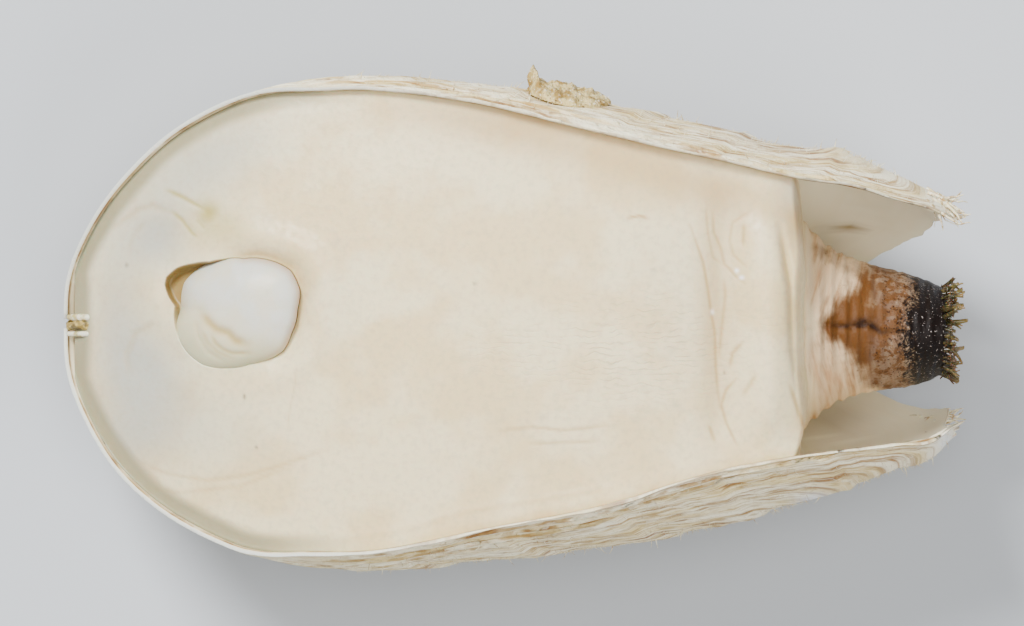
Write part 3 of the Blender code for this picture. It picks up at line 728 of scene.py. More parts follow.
@dataclass(frozen=True)
class SiphonSkin:
    """Siphon skin: cream at the base, brown pigment in streaks and spots, almost black at the tip."""

    cream: str = "#D3B792"
    pink: str = "#B78E66"
    brown: str = "#583616"
    dark: str = "#1D0C05"
    pale: str = "#634C3D"
    tip: str = "#0F0705"
    fleck: str = "#A89E98"
    root: str = "#D9C49E"

    def material(self) -> bpy.types.Material:
        """Return the material.

        Returns:
            One that reads the siphon's length and pigment attributes.
        """
        paint = Paint("siphon_skin")
        x, y, _ = add(paint.tree, "ShaderNodeSeparateXYZ", {0: paint.place}).outputs
        streak_at = add(paint.tree, "ShaderNodeCombineXYZ",
                        {0: paint.mark("feather_mm"), 1: paint.math("MULTIPLY", y, 160.0)})
        scaled = add(paint.tree, "ShaderNodeVectorMath", {0: streak_at.outputs[0], 1: (MM, MM, MM)},
                     operation="MULTIPLY").outputs[0]
        streaks = paint.speckle(0.2, 3.0, 4.0, scaled)
        blots, fine = paint.speckle(0.24, 7.0, 3.0), paint.speckle(0.075, 1.0, 2.0)
        colour = paint.mix(paint.ramp(streaks, 0.45, 0.7, 0.8), self.cream, self.pink)
        brown = paint.mark("brown")
        cloud = paint.speckle(0.5, 13.0, 4.0)
        # Brown pigment feathers along the skin's folds and gathers in soft clouds
        uneven = paint.weighed(streaks, 0.55, cloud, 0.6)
        threshold = paint.math("ADD", uneven, paint.math("MULTIPLY", brown, 0.75))
        colour = paint.mix(paint.ramp(threshold, 0.62, 1.3), colour, self.brown)
        spots = paint.mark("spots")
        colour = paint.mix(paint.math("MULTIPLY", spots, 0.85), colour, self.pale)
        # Near the tip it breaks up into blotches of 0.2 to 0.3 mm and fine freckles
        spotted = paint.weighed(blots, 0.8, spots, 0.3)
        colour = paint.mix(paint.ramp(spotted, 0.69, 0.78, 0.9), colour, self.brown)
        pigment = paint.math("MULTIPLY", paint.math("ADD", brown, spots), 0.14)
        blotched = paint.math("ADD", paint.math("MULTIPLY", paint.speckle(0.34, 21.0, 4.0), 0.8), pigment)
        colour = paint.mix(paint.ramp(blotched, 0.57, 0.68, 0.8), colour, self.brown)
        flecked = paint.weighed(fine, 0.8, spots, 0.25)
        colour = paint.mix(paint.ramp(flecked, 0.71, 0.76, 0.75), colour, self.dark)
        grain = paint.weighed(fine, 0.6, blots, 0.5)
        specks = paint.math("ADD", grain, paint.math("MULTIPLY", paint.mark("dark"), 0.75))
        colour = paint.mix(paint.ramp(specks, 0.74, 1.04), colour, self.tip)
        colour = paint.mix(paint.math("MULTIPLY", paint.mark("midline"), paint.ramp(cloud, 0.3, 0.55)), colour,
                           self.dark)
        white = paint.math("MULTIPLY", paint.ramp(paint.speckle(0.07, 11.0, 1.0), 0.68, 0.72), paint.mark("dark"))
        colour = paint.mix(paint.math("MULTIPLY", white, 0.7), colour, self.fleck)
        colour = paint.mix(paint.mark("rooted"), colour, self.root)
        normal = paint.bump(paint.math("ADD", fine, streaks), 0.02)
        return paint.finish(colour, normal, 0.55, IOR=1.38, Specular_IOR_Level=0.22, Subsurface_Weight=0.08,
                            Subsurface_Scale=0.15 * MM)


@dataclass(frozen=True)
class PapillaFlesh:
    """Papillae of the siphon's fringe: olive jelly with yellow tips."""

    olive: str = "#2F2916"
    yellow: str = "#857542"
    dark: str = "#150D09"

    def material(self) -> bpy.types.Material:
        """Return the material."""
        paint = Paint("papilla_jelly")
        x, _, _ = add(paint.tree, "ShaderNodeSeparateXYZ", {0: paint.place}).outputs
        colour = paint.mix(paint.ramp(x, 14.1 * MM, 14.6 * MM), self.dark, self.olive)
        colour = paint.mix(paint.ramp(x, 14.6 * MM, 15.2 * MM, 0.8), colour, self.yellow)
        mottle = paint.speckle(0.12, 2.0, 2.0)
        colour = paint.mix(paint.ramp(mottle, 0.5, 0.7, 0.45), colour, self.yellow)
        return paint.finish(colour, paint.bump(mottle, 0.01), 0.25, IOR=1.38, Subsurface_Weight=0.4,
                            Subsurface_Scale=0.3 * MM)


@dataclass(frozen=True)
class Crust:
    """Burrow crust: crumbly cream lime with tan grains and pits between its crystals."""

    cream: str = "#CAB67C"
    tan: str = "#937634"
    pit: str = "#6A5226"
    crystal: str = "#F0EAD9"

    def material(self) -> bpy.types.Material:
        """Return the material."""
        paint = Paint("burrow_lime")
        lumps, grit = paint.speckle(0.5, 2.0, 4.0), paint.speckle(0.1, 4.0, 2.0)
        colour = paint.mix(paint.ramp(lumps, 0.42, 0.62), self.cream, self.tan)
        colour = paint.mix(paint.ramp(grit, 0.58, 0.7, 0.6), colour, self.crystal)
        colour = paint.mix(paint.ramp(grit, 0.4, 0.3), colour, self.pit)
        normal = paint.bump(paint.math("ADD", lumps, grit), 0.09)
        return paint.finish(colour, normal, 0.85, IOR=1.53, Subsurface_Weight=0.1, Subsurface_Scale=0.3 * MM)


@dataclass(frozen=True)
class HornySkin:
    """Periostracum: the shell's horny outer skin, dried to pale straw threads."""

    straw: str = "#DCCFA8"
    brown: str = "#A58A5A"
    bleached: str = "#F1ECDB"

    def material(self) -> bpy.types.Material:
        """Return the material."""
        paint = Paint("periostracum_threads")
        mottle = paint.speckle(0.3, 2.0, 3.0)
        colour = paint.mix(paint.ramp(mottle, 0.42, 0.62), self.straw, self.brown)
        colour = paint.mix(paint.ramp(paint.speckle(0.1, 5.0), 0.5, 0.6, 0.6), colour, self.bleached)
        return paint.finish(colour, paint.bump(mottle, 0.03), 0.6, IOR=1.5, Subsurface_Weight=0.15,
                            Subsurface_Scale=0.2 * MM)


@dataclass(frozen=True)
class LigamentFibre:
    """Ligament: brown-olive horny fibres, with dark blots scattered over it."""

    olive: str = "#867033"
    dark: str = "#4A3E22"
    straw: str = "#BCA45F"

    def material(self) -> bpy.types.Material:
        """Return the material."""
        paint = Paint("ligament_fibre")
        fibres, blots = paint.speckle(0.12, 2.0, 3.0), paint.speckle(0.4, 6.0, 3.0)
        colour = paint.mix(paint.ramp(fibres, 0.4, 0.65), self.olive, self.straw)
        colour = paint.mix(paint.ramp(blots, 0.5, 0.62, 0.8), colour, self.dark)
        return paint.finish(colour, paint.bump(fibres, 0.03), 0.5, IOR=1.5)


@dataclass(frozen=True)
class Ivory:
    """The hinge ridges: dense white shell, polished and faintly yellow in soft clouds."""

    white: str = "#DED8BE"
    yellow: str = "#AF9F66"

    def material(self) -> bpy.types.Material:
        """Return the material."""
        paint = Paint("hinge_ivory")
        cloud, grain = paint.speckle(0.35, 3.0, 3.0), paint.speckle(0.06, 1.0, 2.0)
        colour = paint.mix(paint.ramp(cloud, 0.45, 0.62), self.white, self.yellow)
        return paint.finish(colour, paint.bump(grain, 0.008), 0.35, IOR=1.53, Subsurface_Weight=0.2,
                            Subsurface_Scale=0.3 * MM)


@dataclass
class Valve:
    """One shell half: flaky outside, round lip and smooth lining as one closed body."""

    form: ValveForm
    node: str
    edge_steps: tuple[int, int] = (226, 62)
    outer_rows: int = 264
    inner_rows: int = 66
    lip_rows: int = 6
    lamella: float = 0.24
    lamella_height: float = 0.075
    flake_height: float = 0.05
    lip_bulge: float = 0.4
    front_thinning: float = 0.55
    rear_thinning: float = 0.7
    growth_bend: float = 0.52
    fan_length: float = 24.0
    floor_height: float = 0.004
    seed: int = 3
    smudges: Sequence[Patch] = ()
    scratches: Sequence[Crease] = ()
    # Patches of painted light on the lining
    painted_light_patches: Sequence[Patch] = ()
    chalk: Sequence[Patch] = ()
    smooth: Sequence[Patch] = ()
    stains: Sequence[Patch] = ()
    # Patches of painted shade on the lining
    lining_shades: Sequence[Patch] = ()

    def build(self) -> bpy.types.Object:
        """Build the valve.

        Returns:
            The object, with its attributes.
        """
        edge, along = self.form.edge(*self.edge_steps)
        quarter = math.pi / 2 * (1.0 - (1.0 - np.linspace(0.0, 1.0, self.outer_rows + 1)[1:]) ** 1.4)
        growth = self.growth_bend * np.sin(quarter) / (np.cos(quarter) + self.growth_bend * np.sin(quarter))
        ragged = self.raggedness(along)
        grown = growth[:, None] * (1.0 + ragged[None] * growth[:, None] ** 12)
        r, angle = self.form.fan(edge[None], grown)
        height, worn = self.relief(grown, along[None] + 0 * grown, r, angle)
        outer = self.form.offset(r, angle, height)
        outer[..., 2] = np.maximum(outer[..., 2], self.floor_height)
        inner_growth = growth[self.outer_rows // self.inner_rows - 1::self.outer_rows // self.inner_rows][::-1]
        inner_grown = inner_growth[:, None] * (1.0 + ragged[None] * inner_growth[:, None] ** 12)
        r_in, angle_in = self.form.fan(edge[None], inner_grown)
        thinning = self.front_thinning + (self.rear_thinning - self.front_thinning) * step(along, 10.0, 22.0)
        thinner = thinning[None] * step(inner_growth, 0.88, 1.0)[:, None]
        inner = self.form.offset(r_in, angle_in, -Shell.WALL * (1.0 - thinner))
        lip = self.lip(outer, inner[0])
        rows = np.concatenate((outer, lip, inner))
        poles = self.form.offset(*self.form.fan(edge[:1], np.zeros(1)), np.array((0.0, -Shell.WALL))[:, None])
        made = self.stitch(rows, poles.reshape(2, 3))
        self.tag_rows(made, rows, growth, inner_growth, along)
        tag(made, "worn", worn)
        x, across = self.band_place(np.concatenate((r, np.repeat(r[-1:], self.lip_rows, 0), r_in)),
                                    np.concatenate((angle, np.repeat(angle[-1:], self.lip_rows, 0), angle_in)))
        tag(made, "length_mm", x)
        tag(made, "across_mm", across)
        tag(made, "stain", np.clip(most(self.stains, rows[..., :2]), 0.0, 1.0))
        return made

    def margin_end(self) -> float:
        """Return how far along the edge the gape's margin ends and the rear edge starts."""
        return float(self.form.edge(*self.edge_steps)[1][self.edge_steps[0]])

    def raggedness(self, along: np.ndarray) -> np.ndarray:
        """Return how far the edge is chipped back or drawn out, as a share of growth."""
        line = np.stack((along, np.zeros_like(along)), axis=-1)
        rear = step(along, 22.0, 34.0) * (1.0 - 0.75 * step(along, self.margin_end(), self.margin_end() + 1.5))
        broad = noise(line, 1.4, self.seed + 5, 3) * (0.0012 + 0.006 * rear)
        return broad + noise(line, 0.35, self.seed + 9, 2) * (0.0006 + 0.004 * rear)

    def relief(self, growth: np.ndarray, along: np.ndarray, r: np.ndarray, angle: np.ndarray) -> np.ndarray:
        """Return the height of the outside's growth ledges, lamellae and flakes.

        Args:
            growth: Share of the way from the umbo to the edge.
            along: Place along the edge in millimetres.
            r: Station.
            angle: Section angle.

        Returns:
            Heights in millimetres, and how far each place is from its lamella's start to its free edge.
        """
        rough = np.clip((r - 0.5) / 0.3, 0.0, 1.0) * np.clip((np.degrees(angle) - 14.0) / 40.0, 0.0, 1.0)
        knots = np.array((0.0, *Shell.LEDGES, 1.0))
        band = np.clip(np.searchsorted(knots, growth + 1e-9) - 1, 0, len(knots) - 2)
        risen = (growth - knots[band]) / (knots[band + 1] - knots[band])
        ledges = -(1.0 - np.clip(risen, 0.0, 1.0)) * Shell.LEDGE_HEIGHT * (band > 0)
        x, across = self.band_place(r, angle)
        flat = np.stack((x * 0.14, across), axis=-1)
        saw = -(across + 0.1 * noise(flat, 0.6, self.seed, 3)) / self.lamella
        teeth = saw - np.floor(saw)
        strength = 0.35 + 0.65 * step(noise(flat, 0.5, self.seed + 2, 2), -0.4, 0.5)
        flakes = noise(np.stack((x * 0.4, across), axis=-1), 0.22, self.seed + 3, 3)
        fine = (teeth - 0.6) * self.lamella_height * strength + flakes * self.flake_height
        lumps = noise(np.stack((x, across), axis=-1), 1.3, self.seed + 4, 2) * 0.07
        fade = 1.0 - bell(across, 0.0, 0.12) * 0.6
        height = rough * (ledges * 0.6 + fine * fade + lumps) + 0.012 * noise(flat, 0.4, self.seed + 6, 2)
        return height, 0.5 + (teeth - 0.5) * strength * np.clip(rough * 1.5, 0.0, 1.0)

    def band_place(self, r: np.ndarray, angle: np.ndarray) -> tuple[np.ndarray, np.ndarray]:
        """Return x, and how far a place lies from the free edge across the growth lines, in millimetres."""
        turn = np.radians(self.form.turn_at(r))
        tall = (MARGIN(r) - BACK(r)) / (1.0 - np.cos(turn))
        x = Shell.FRONT_X + Shell.LENGTH * r ** 3
        behind = self.form.rear_at(np.degrees(angle)) - x
        beside = np.maximum((turn - angle) * tall, 0.0) + 0.02
        return x, (beside ** -3 + (np.maximum(behind, 0.0) * 0.5 + 0.02) ** -3) ** (-1.0 / 3.0)

    def lip(self, outer: np.ndarray, first_inner: np.ndarray) -> np.ndarray:
        """Return the rows of the rounded lip between the outside and the lining."""
        last = outer[-1]
        outwards = last - outer[-4]
        outwards /= np.maximum(np.linalg.norm(outwards, axis=-1, keepdims=True), 1e-9)
        across = first_inner - last
        width = np.linalg.norm(across, axis=-1, keepdims=True)
        turn = np.linspace(0.0, math.pi, self.lip_rows + 2)[1:-1, None, None]
        return (last + across * (1.0 - np.cos(turn)) / 2.0
                + outwards * width * 0.5 * self.lip_bulge * np.sin(turn) ** 0.8)

    def stitch(self, rows: np.ndarray, poles: np.ndarray) -> bpy.types.Object:
        """Join the rows to one closed body.

        Args:
            rows: Points of the outside, the lip and the lining, row by row.
            poles: The umbo's outer and inner point.

        Returns:
            The object.
        """
        count, columns = rows.shape[:2]
        points = np.concatenate((rows.reshape(-1, 3), poles))
        at = np.arange(count * columns).reshape(count, columns)
        outer_pole, inner_pole = count * columns, count * columns + 1
        faces = np.stack((at[:-1, :-1], at[:-1, 1:], at[1:, 1:], at[1:, :-1]), axis=-1).reshape(-1, 4).tolist()
        faces += [(outer_pole, b, a) for a, b in zip(at[0, :-1].tolist(), at[0, 1:].tolist())]
        faces += [(inner_pole, a, b) for a, b in zip(at[-1, :-1].tolist(), at[-1, 1:].tolist())]
        stride = self.outer_rows // self.inner_rows
        start = self.outer_rows + self.lip_rows
        for column, turned in ((0, False), (columns - 1, True)):
            outside = [outer_pole, *at[:self.outer_rows, column].tolist()]
            lining = [*at[start:, column].tolist(), inner_pole][::-1]
            for number in range(self.inner_rows):
                strip = outside[number * stride:(number + 1) * stride + 1]
                face = strip + [lining[number + 1], lining[number]]
                faces.append(face[::-1] if turned else face)
            face = [outside[-1], *at[self.outer_rows:start, column].tolist(), lining[-1]]
            faces.append(face[::-1] if turned else face)
        return make_object(f"{self.node}_shell", points, faces)

    def tag_rows(self, made: bpy.types.Object, rows: np.ndarray, growth: np.ndarray,
                 inner_growth: np.ndarray, along: np.ndarray) -> None:
        """Store what the shell's material reads.

        Args:
            made: The object.
            rows: Its points, row by row.
            growth: Growth of the outer rows.
            inner_growth: Growth of the lining's rows.
            along: Place of each column along the edge.
        """
        turn = np.linspace(0.0, 1.0, self.lip_rows + 2)[1:-1]
        shape = rows.shape[:2]
        full = np.concatenate((growth, np.ones(self.lip_rows), inner_growth))[:, None] + np.zeros(shape)
        lining = np.concatenate((np.zeros(len(growth)), step(turn, 0.45, 1.0), np.ones(len(inner_growth))))
        front = 1.0 - step(along, 12.0, 20.0)
        margin = (1.0 - full) * self.fan_length
        lip = bell(margin, 0.0, 0.25) * (0.25 + 0.75 * front) * (1.0 - step(lining, 0.3, 0.8))[:, None]
        places = rows[..., :2]
        inside, outside = lining[:, None] > 0.5, lining[:, None] < 0.5
        tag(made, "lining", lining[:, None] + np.zeros(shape))
        tag(made, "lip", lip)
        gape = 1.0 - step(along, self.margin_end() - 2.0, self.margin_end())
        tag(made, "margin_line", (bell(margin, 0.0, 0.02) * step(lining, 0.4, 0.8)[:, None]
                                  + bell(margin, 0.35, 0.2) * inside) * 0.9 * gape)
        tag(made, "smooth", np.clip(most(self.smooth, places), 0, 1) * outside + 0.75 * front * outside)
        # Painted light on the lining near the rear margin and on the listed patches, lifting it where the hollow lies
        # in shade
        painted_light_share = bell(margin, 0.6, 2.2) * step(places[..., 0], 8.5, 10.5) * 0.7 + most(self.painted_light_patches, places)
        tag(made, "painted_light", np.clip(painted_light_share, 0.0, 1.0) * inside)
        for name, marks, where in (("chalky", self.chalk, outside), ("smudge", self.smudges, inside),
                                   ("lining_shade", self.lining_shades, inside), ("scratch", self.scratches, inside)):
            tag(made, name, np.clip(most(marks, places), 0.0, 1.0) * where)

    def dress(self, made: bpy.types.Object, finish: bpy.types.Material) -> None:
        """Give the valve its material and its place in the model."""
        made.data.materials.append(finish)
        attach(made, "root")
        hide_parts(self.node)


@dataclass
class Body:
    """The mantle over the animal's body: a closed lump that fills the shell up to near its margin."""

    front: float = -15.1
    rear: float = 9.3
    gap: float = 0.03
    columns: int = 196
    under_columns: int = 24
    rows: int = 424
    cap_rows: int = 12
    edge_depth: Knots = ((-15.305, 0.12), (-14.0, 0.14), (-12.0, 0.16), (-9.0, 0.2), (-6.0, 0.24), (0.0, 0.34),
                         (14.77, 0.42))
    edge_inset: float = 0.2
    bulge: Knots = ((-15.305, 0.05), (-14.0, 0.3), (-12.0, 0.6), (-9.4, 0.7), (-5.0, 0.6), (4.0, 0.42),
                    (7.0, 0.35), (8.9, 0.42), (9.75, 0.3), (14.77, 0.3))
    band_width: float = 0.5
    band_drop: float = 0.15
    corner_x: float = 7.5
    corners: Knots = ((0.0, 0.94), (0.1, 0.97), (0.2, 1.02), (0.27, 1.04), (0.36, 1.01), (0.45, 1.0),
                      (0.7, 1.03), (0.82, 1.1), (0.89, 1.12), (0.95, 1.05), (1.0, 0.95))
    foot_middle: tuple[float, float] = (240.0, 312.0)
    foot_edge: Knots = ((-156.3, 67.2), (-141.0, 66.8), (-124.4, 65.0), (-100.0, 58.0), (-78.0, 54.1),
                        (-65.0, 55.0), (-41.0, 59.5), (-21.4, 57.6), (3.0, 59.7), (19.0, 65.6), (38.0, 67.0),
                        (60.0, 60.0), (84.0, 53.5), (106.3, 55.2), (120.0, 57.8), (134.3, 60.1), (151.6, 63.1),
                        (163.0, 61.2), (177.0, 58.5), (192.0, 66.7))
    hole_edge: Knots = ((-156.3, 67.2), (-141.0, 66.8), (-124.4, 65.0), (-100.0, 58.0), (-78.0, 54.1),
                        (-65.0, 55.2), (-41.0, 60.0), (-21.4, 58.2), (3.0, 60.4), (19.0, 66.2), (38.0, 67.6),
                        (60.0, 60.6), (84.0, 54.0), (106.3, 55.4), (120.0, 58.6), (133.2, 67.2), (144.8, 77.0),
                        (154.6, 81.5), (160.0, 80.0), (168.0, 72.6), (174.7, 65.3), (192.0, 66.7))
    creases: Sequence[Crease] = (
        Crease(((688, 225), (701, 262), (706, 289), (709, 311), (713, 333), (714, 367), (716, 393), (719, 409)),
               0.055, 0.02, 0.55),
        Crease(((722, 280), (723, 296), (720, 325), (717, 356)), 0.055, 0.015, 0.5),
        Crease(((711, 212), (712, 233), (719, 249), (722, 264), (733, 277), (742, 284)), 0.055, 0.02, 0.45),
        Crease(((704, 210), (706, 233), (711, 258), (719, 264)), 0.05, 0.015, 0.35),
        Crease(((752, 210), (730, 224), (727, 242), (731, 256), (743, 267)), 0.055, 0.015, 0.35),
        Crease(((741, 226), (740, 246)), 0.07, 0.03, 0.5),
        Crease(((740, 342), (730, 353), (727, 367)), 0.07, 0.03, 0.5),
        Crease(((734, 378), (724, 389), (719, 404), (724, 422), (734, 443)), 0.055, 0.02, 0.55),
        Crease(((753, 375), (740, 395)), 0.09, 0.03, 0.4),
        Crease(((707, 424), (713, 440)), 0.07, 0.03, 0.5),
        Crease(((777, 226), (783, 260), (788, 289), (789, 316), (790, 347), (794, 373), (800, 400), (806, 434)),
               0.15, 0.22, 0.35),
        Crease(((787, 384), (796, 411), (805, 436)), 0.08, 0.05, 0.6),
        Crease(((627, 219), (638, 217), (646, 219)), 0.05, 0.02, 0.8),
        Crease(((500, 429), (533, 426), (564, 429), (607, 424)), 0.06, 0.01, 0.4),
        Crease(((529, 442), (598, 440)), 0.06, 0.01, 0.4),
        Crease(((112, 228), (125, 220), (138, 210), (153, 206), (170, 212)), 0.12, 0.07, 0.25),
        Crease(((128, 252), (133, 237), (145, 223)), 0.1, 0.04, 0.15),
        Crease(((157, 323), (135, 335), (127, 352), (128, 372)), 0.14, 0.05, 0.2),
        Crease(((140, 462), (170, 474), (210, 480), (250, 474), (290, 462), (330, 448)), 0.07, 0.015, 0.3),
        Crease(((290, 466), (240, 486), (180, 492), (150, 488)), 0.07, 0.015, 0.25),
        Crease(((330, 541), (400, 528), (470, 508), (540, 497), (620, 484)), 0.1, -0.05, 0.1),
        Crease(((298, 367), (297, 382), (292, 405), (289, 429)), 0.035, 0.01, 0.25),
        # Painted shadow on the mantle round the foot's top right: a line with no depth
        Crease(((226, 258), (258, 254), (276, 258), (290, 267), (300, 280), (305, 296), (302, 315), (298, 332)),
               0.13, 0.0, 0.42),
    )
    olive_lines: Sequence[Crease | Patch] = (
        Crease(((167, 190), (183, 197), (203, 208), (210, 213)), 0.08, 0.04, 0.8),
        Crease(((173, 212), (183, 220), (193, 233), (200, 238)), 0.08, 0.04, 0.75),
        Crease(((197, 218), (207, 230)), 0.1, 0.03, 0.6),
        Crease(((223, 208), (215, 214), (228, 224), (245, 220)), 0.1, 0.02, 0.3),
        Patch((210, 214), (13, 13), 0.9),
        Patch((222, 226), (34, 18), 0.5),
    )
    bluish: Sequence[Patch] = (
        Patch((160, 242), (34, 30), 0.7, 40.0), Patch((150, 375), (46, 56), 0.75), Patch((115, 310), (30, 90), 0.55),
        Patch((210, 430), (70, 40), 0.35), Patch((130, 440), (44, 34), 0.4), Patch((200, 165), (100, 44), 0.7, 30.0),
        # Painted shade: greys the mantle's rear corner to meet the shaded lining beside it
        Patch((797, 188), (24, 36), 0.6),
        Patch((690, 290), (60, 90), 0.12), Patch((330, 300), (40, 60), 0.1),
    )
    shades: Sequence[Patch] = (
        Patch((600, 158), (160, 26), 0.4, -15.0), Patch((470, 122), (110, 20), 0.3, -8.0),
        Patch((720, 195), (60, 22), 0.3, -15.0), Patch((240, 235), (60, 18), 0.12),
        Patch((240, 382), (40, 14), 0.16), Patch((796, 228), (14, 20), 0.5, -20.0), Patch((714, 330), (17, 120), 0.42),
        Patch((784, 214), (30, 12), 0.2), Patch((800, 425), (11, 20), 0.4, 12.0),
    )
    flecks: Sequence[Patch] = (
        Patch((246, 396), (1.5, 2.4), 0.8), Patch((258, 446), (1.5, 1.5), 0.7), Patch((127, 265), (1.5, 2.2), 0.6),
        Patch((475, 284), (1.5, 1.5), 0.6), Patch((651, 270), (3.0, 1.6), 0.25), Patch((722, 372), (1.4, 2.0), 0.5),
    )
    spots: Sequence[Patch] = (
        Patch((338, 243), (5, 4), 0.3), Patch((271, 220), (5, 4), 0.3), Patch((568, 211), (7, 5), 0.25),
        Patch((556, 201), (4, 3), 0.2), Patch((528, 282), (5, 4), 0.2), Patch((670, 350), (6, 5), 0.25),
        Patch((675, 405), (6, 5), 0.3), Patch((636, 418), (6, 4), 0.25), Patch((542, 416), (5, 4), 0.25),
        Patch((707, 173), (4, 3), 0.25),
    )
    # Painted highlights: small white glints on the wet skin near the rear creases
    specks: Sequence[Patch] = (
        Patch((734.4, 271), (2.2, 2.2), 1.0), Patch((739, 278), (2.6, 2.0), 1.0), Patch((710, 312), (2.0, 2.6), 0.6),
    )

    def __post_init__(self) -> None:
        """Fit the curves."""
        self.depth_at, self.bulge_at = Profile(self.edge_depth), Profile(self.bulge)

    def edge_angle(self, form: ValveForm, r: np.ndarray) -> np.ndarray:
        """Return the section angle at which the skin leaves a valve."""
        turn = np.radians(form.turn_at(r))
        tall = (MARGIN(r) - BACK(r)) / (1.0 - np.cos(turn))
        depth = np.minimum(self.depth_at(r), 0.35 * (MARGIN(r) - BACK(r)))
        return np.arccos(np.clip(np.cos(turn) + depth / tall, -1.0, 1.0))

    def radius(self, edge: Knots, places: np.ndarray) -> tuple[np.ndarray, np.ndarray]:
        """Return the distance of places from the foot's middle, and an outline's in that direction."""
        offset = places - PICTURE.place(self.foot_middle)
        angle = np.degrees(np.arctan2(offset[..., 1], offset[..., 0]))
        turns, radii = np.array(edge, float).T
        turns = np.concatenate((turns - 360.0, turns, turns + 360.0))
        return (np.linalg.norm(offset, axis=-1),
                np.interp(angle, turns, np.tile(radii, 3)) * PICTURE.mm_per_pixel)

    def gathered(self, places: np.ndarray) -> np.ndarray:
        """Return places moved so that the grid is densest at the rim of the foot's hole."""
        away, rim = self.radius(self.hole_edge, places)
        ratio = away / rim
        t = (ratio - 1.0) / 0.22
        moved = ratio - 0.78 * (ratio - 1.0) * np.exp(-t * t)
        middle = PICTURE.place(self.foot_middle)
        return middle + (places - middle) * (moved / np.maximum(ratio, 1e-6))[..., None]

    def hole(self, places: np.ndarray) -> tuple[np.ndarray, np.ndarray]:
        """Shape the hole that the foot leans out of.

        Args:
            places: Points, x and y in the last axis.

        Returns:
            How far the skin is pulled down at each, and how deep in the hole each lies, 0 to 1.
        """
        away, rim = self.radius(self.hole_edge, places)
        _, foot = self.radius(self.foot_edge, places)
        offset = places - PICTURE.place(self.foot_middle)
        angle = np.degrees(np.arctan2(offset[..., 1], offset[..., 0]))
        outside = away - rim
        closed = step(np.cos(np.radians(angle + 115.0)), 0.25, 0.85)
        pocket = step(-outside, 0.0, 0.2) * (0.62 - 0.5 * closed)
        right = step(np.cos(np.radians(angle - 25.0)), -0.2, 0.8)
        groove = np.exp(-((np.maximum(outside, 0.0) / 0.3) ** 2)) * 0.3 * right
        collar = bell(outside, 0.8, 0.45) * 0.16 * (0.3 + 0.7 * right)
        lift = np.exp(-np.maximum(outside, 0.0) / 0.5) * 0.06 * closed
        return pocket + groove - collar - lift, step(-outside, -0.02, 0.08) * (1.0 - closed)

    def skin(self, r: np.ndarray, across: np.ndarray) -> np.ndarray:
        """Return points of the bare skin between the valves."""
        inset = -self.edge_inset
        left = LEFT_FORM.offset(r, self.edge_angle(LEFT_FORM, r), inset)
        right = RIGHT_FORM.offset(r, self.edge_angle(RIGHT_FORM, r), inset)
        skin = left + (right - left) * across[..., None]
        arch = np.maximum(4.0 * across * (1.0 - across), 0.0)
        skin[..., 2] += self.bulge_at(r) * arch ** (0.8 + 0.7 * step(r, 0.6, 0.75))
        return skin

    def height(self, places: np.ndarray) -> np.ndarray:
        """Return the bare skin's height at places near the middle of the shell."""
        r = station(np.clip(places[..., 0], Shell.FRONT_X + 0.5, 14.0))
        left = self.skin(r, np.zeros_like(r))
        right = self.skin(r, np.ones_like(r))
        across = np.clip((left[..., 1] - places[..., 1]) / (left[..., 1] - right[..., 1]), 0.0, 1.0)
        return self.skin(r, across)[..., 2]

    def relief(self, places: np.ndarray) -> np.ndarray:
        """Raise folds, swellings and creases over the bare skin.

        Args:
            places: Points, x and y in the last axis.

        Returns:
            The height of each in millimetres.
        """
        rise = -sum(crease.share(places) * crease.depth for crease in (*self.creases, *(
            line for line in self.olive_lines if isinstance(line, Crease))))
        x = places[..., 0]
        y = places[..., 1]
        ridge_x = PICTURE.place((767.0, 330.0))[0] + 0.02 * y
        rise = rise + 0.46 * bell(x, ridge_x, 0.8) * (1.0 - 0.6 * step(np.abs(y), 2.8, 4.4))
        rise = rise - 0.26 * bell(x, ridge_x - 1.6, 0.6) * (1.0 - step(np.abs(y), 3.0, 4.6))
        rise = rise - 0.12 * Patch((160, 245), (32, 28), 1.0, 40.0).share(places)
        rise = rise + 0.16 * Patch((158, 300), (14, 26), 1.0).share(places)
        rise = rise - 0.14 * Patch((150, 378), (34, 42), 1.0).share(places)
        rise = rise - 0.1 * Patch((590, 150), (170, 34), 1.0, -13.0).share(places)
        rise = rise + 0.03 * noise(places, 2.2, 21, 2) + 0.006 * noise(places, 0.5, 22, 2)
        wrinkled = self.wrinkled(places)
        rise = rise + 0.008 * noise(places * np.array((0.35, 1.0)), 0.16, 23, 2) * wrinkled
        return rise

    def wrinkled(self, places: np.ndarray) -> np.ndarray:
        """Return where the fine wavy wrinkles lie."""
        return np.clip(most((Patch((640, 348), (80, 48), 1.0), Patch((560, 350), (80, 32), 0.6),
                             Patch((770, 330), (20, 20), 0.4)), places) * 1.3, 0.0, 1.0)

    def row_places(self) -> np.ndarray:
        """Return x of the rows, denser at the foot and at the rear creases."""
        x = np.linspace(self.front, self.rear, 4000)
        foot, rear = PICTURE.place((235.0, 0.0))[0], PICTURE.place((745.0, 0.0))[0]
        density = 1.0 + 0.5 * bell(x, foot, 2.6) + 1.3 * bell(x, rear, 2.0)
        length = np.concatenate(((0.0,), np.cumsum((density[1:] + density[:-1]) / 2.0)))
        return np.interp(np.linspace(0.0, length[-1], self.rows), length, x)

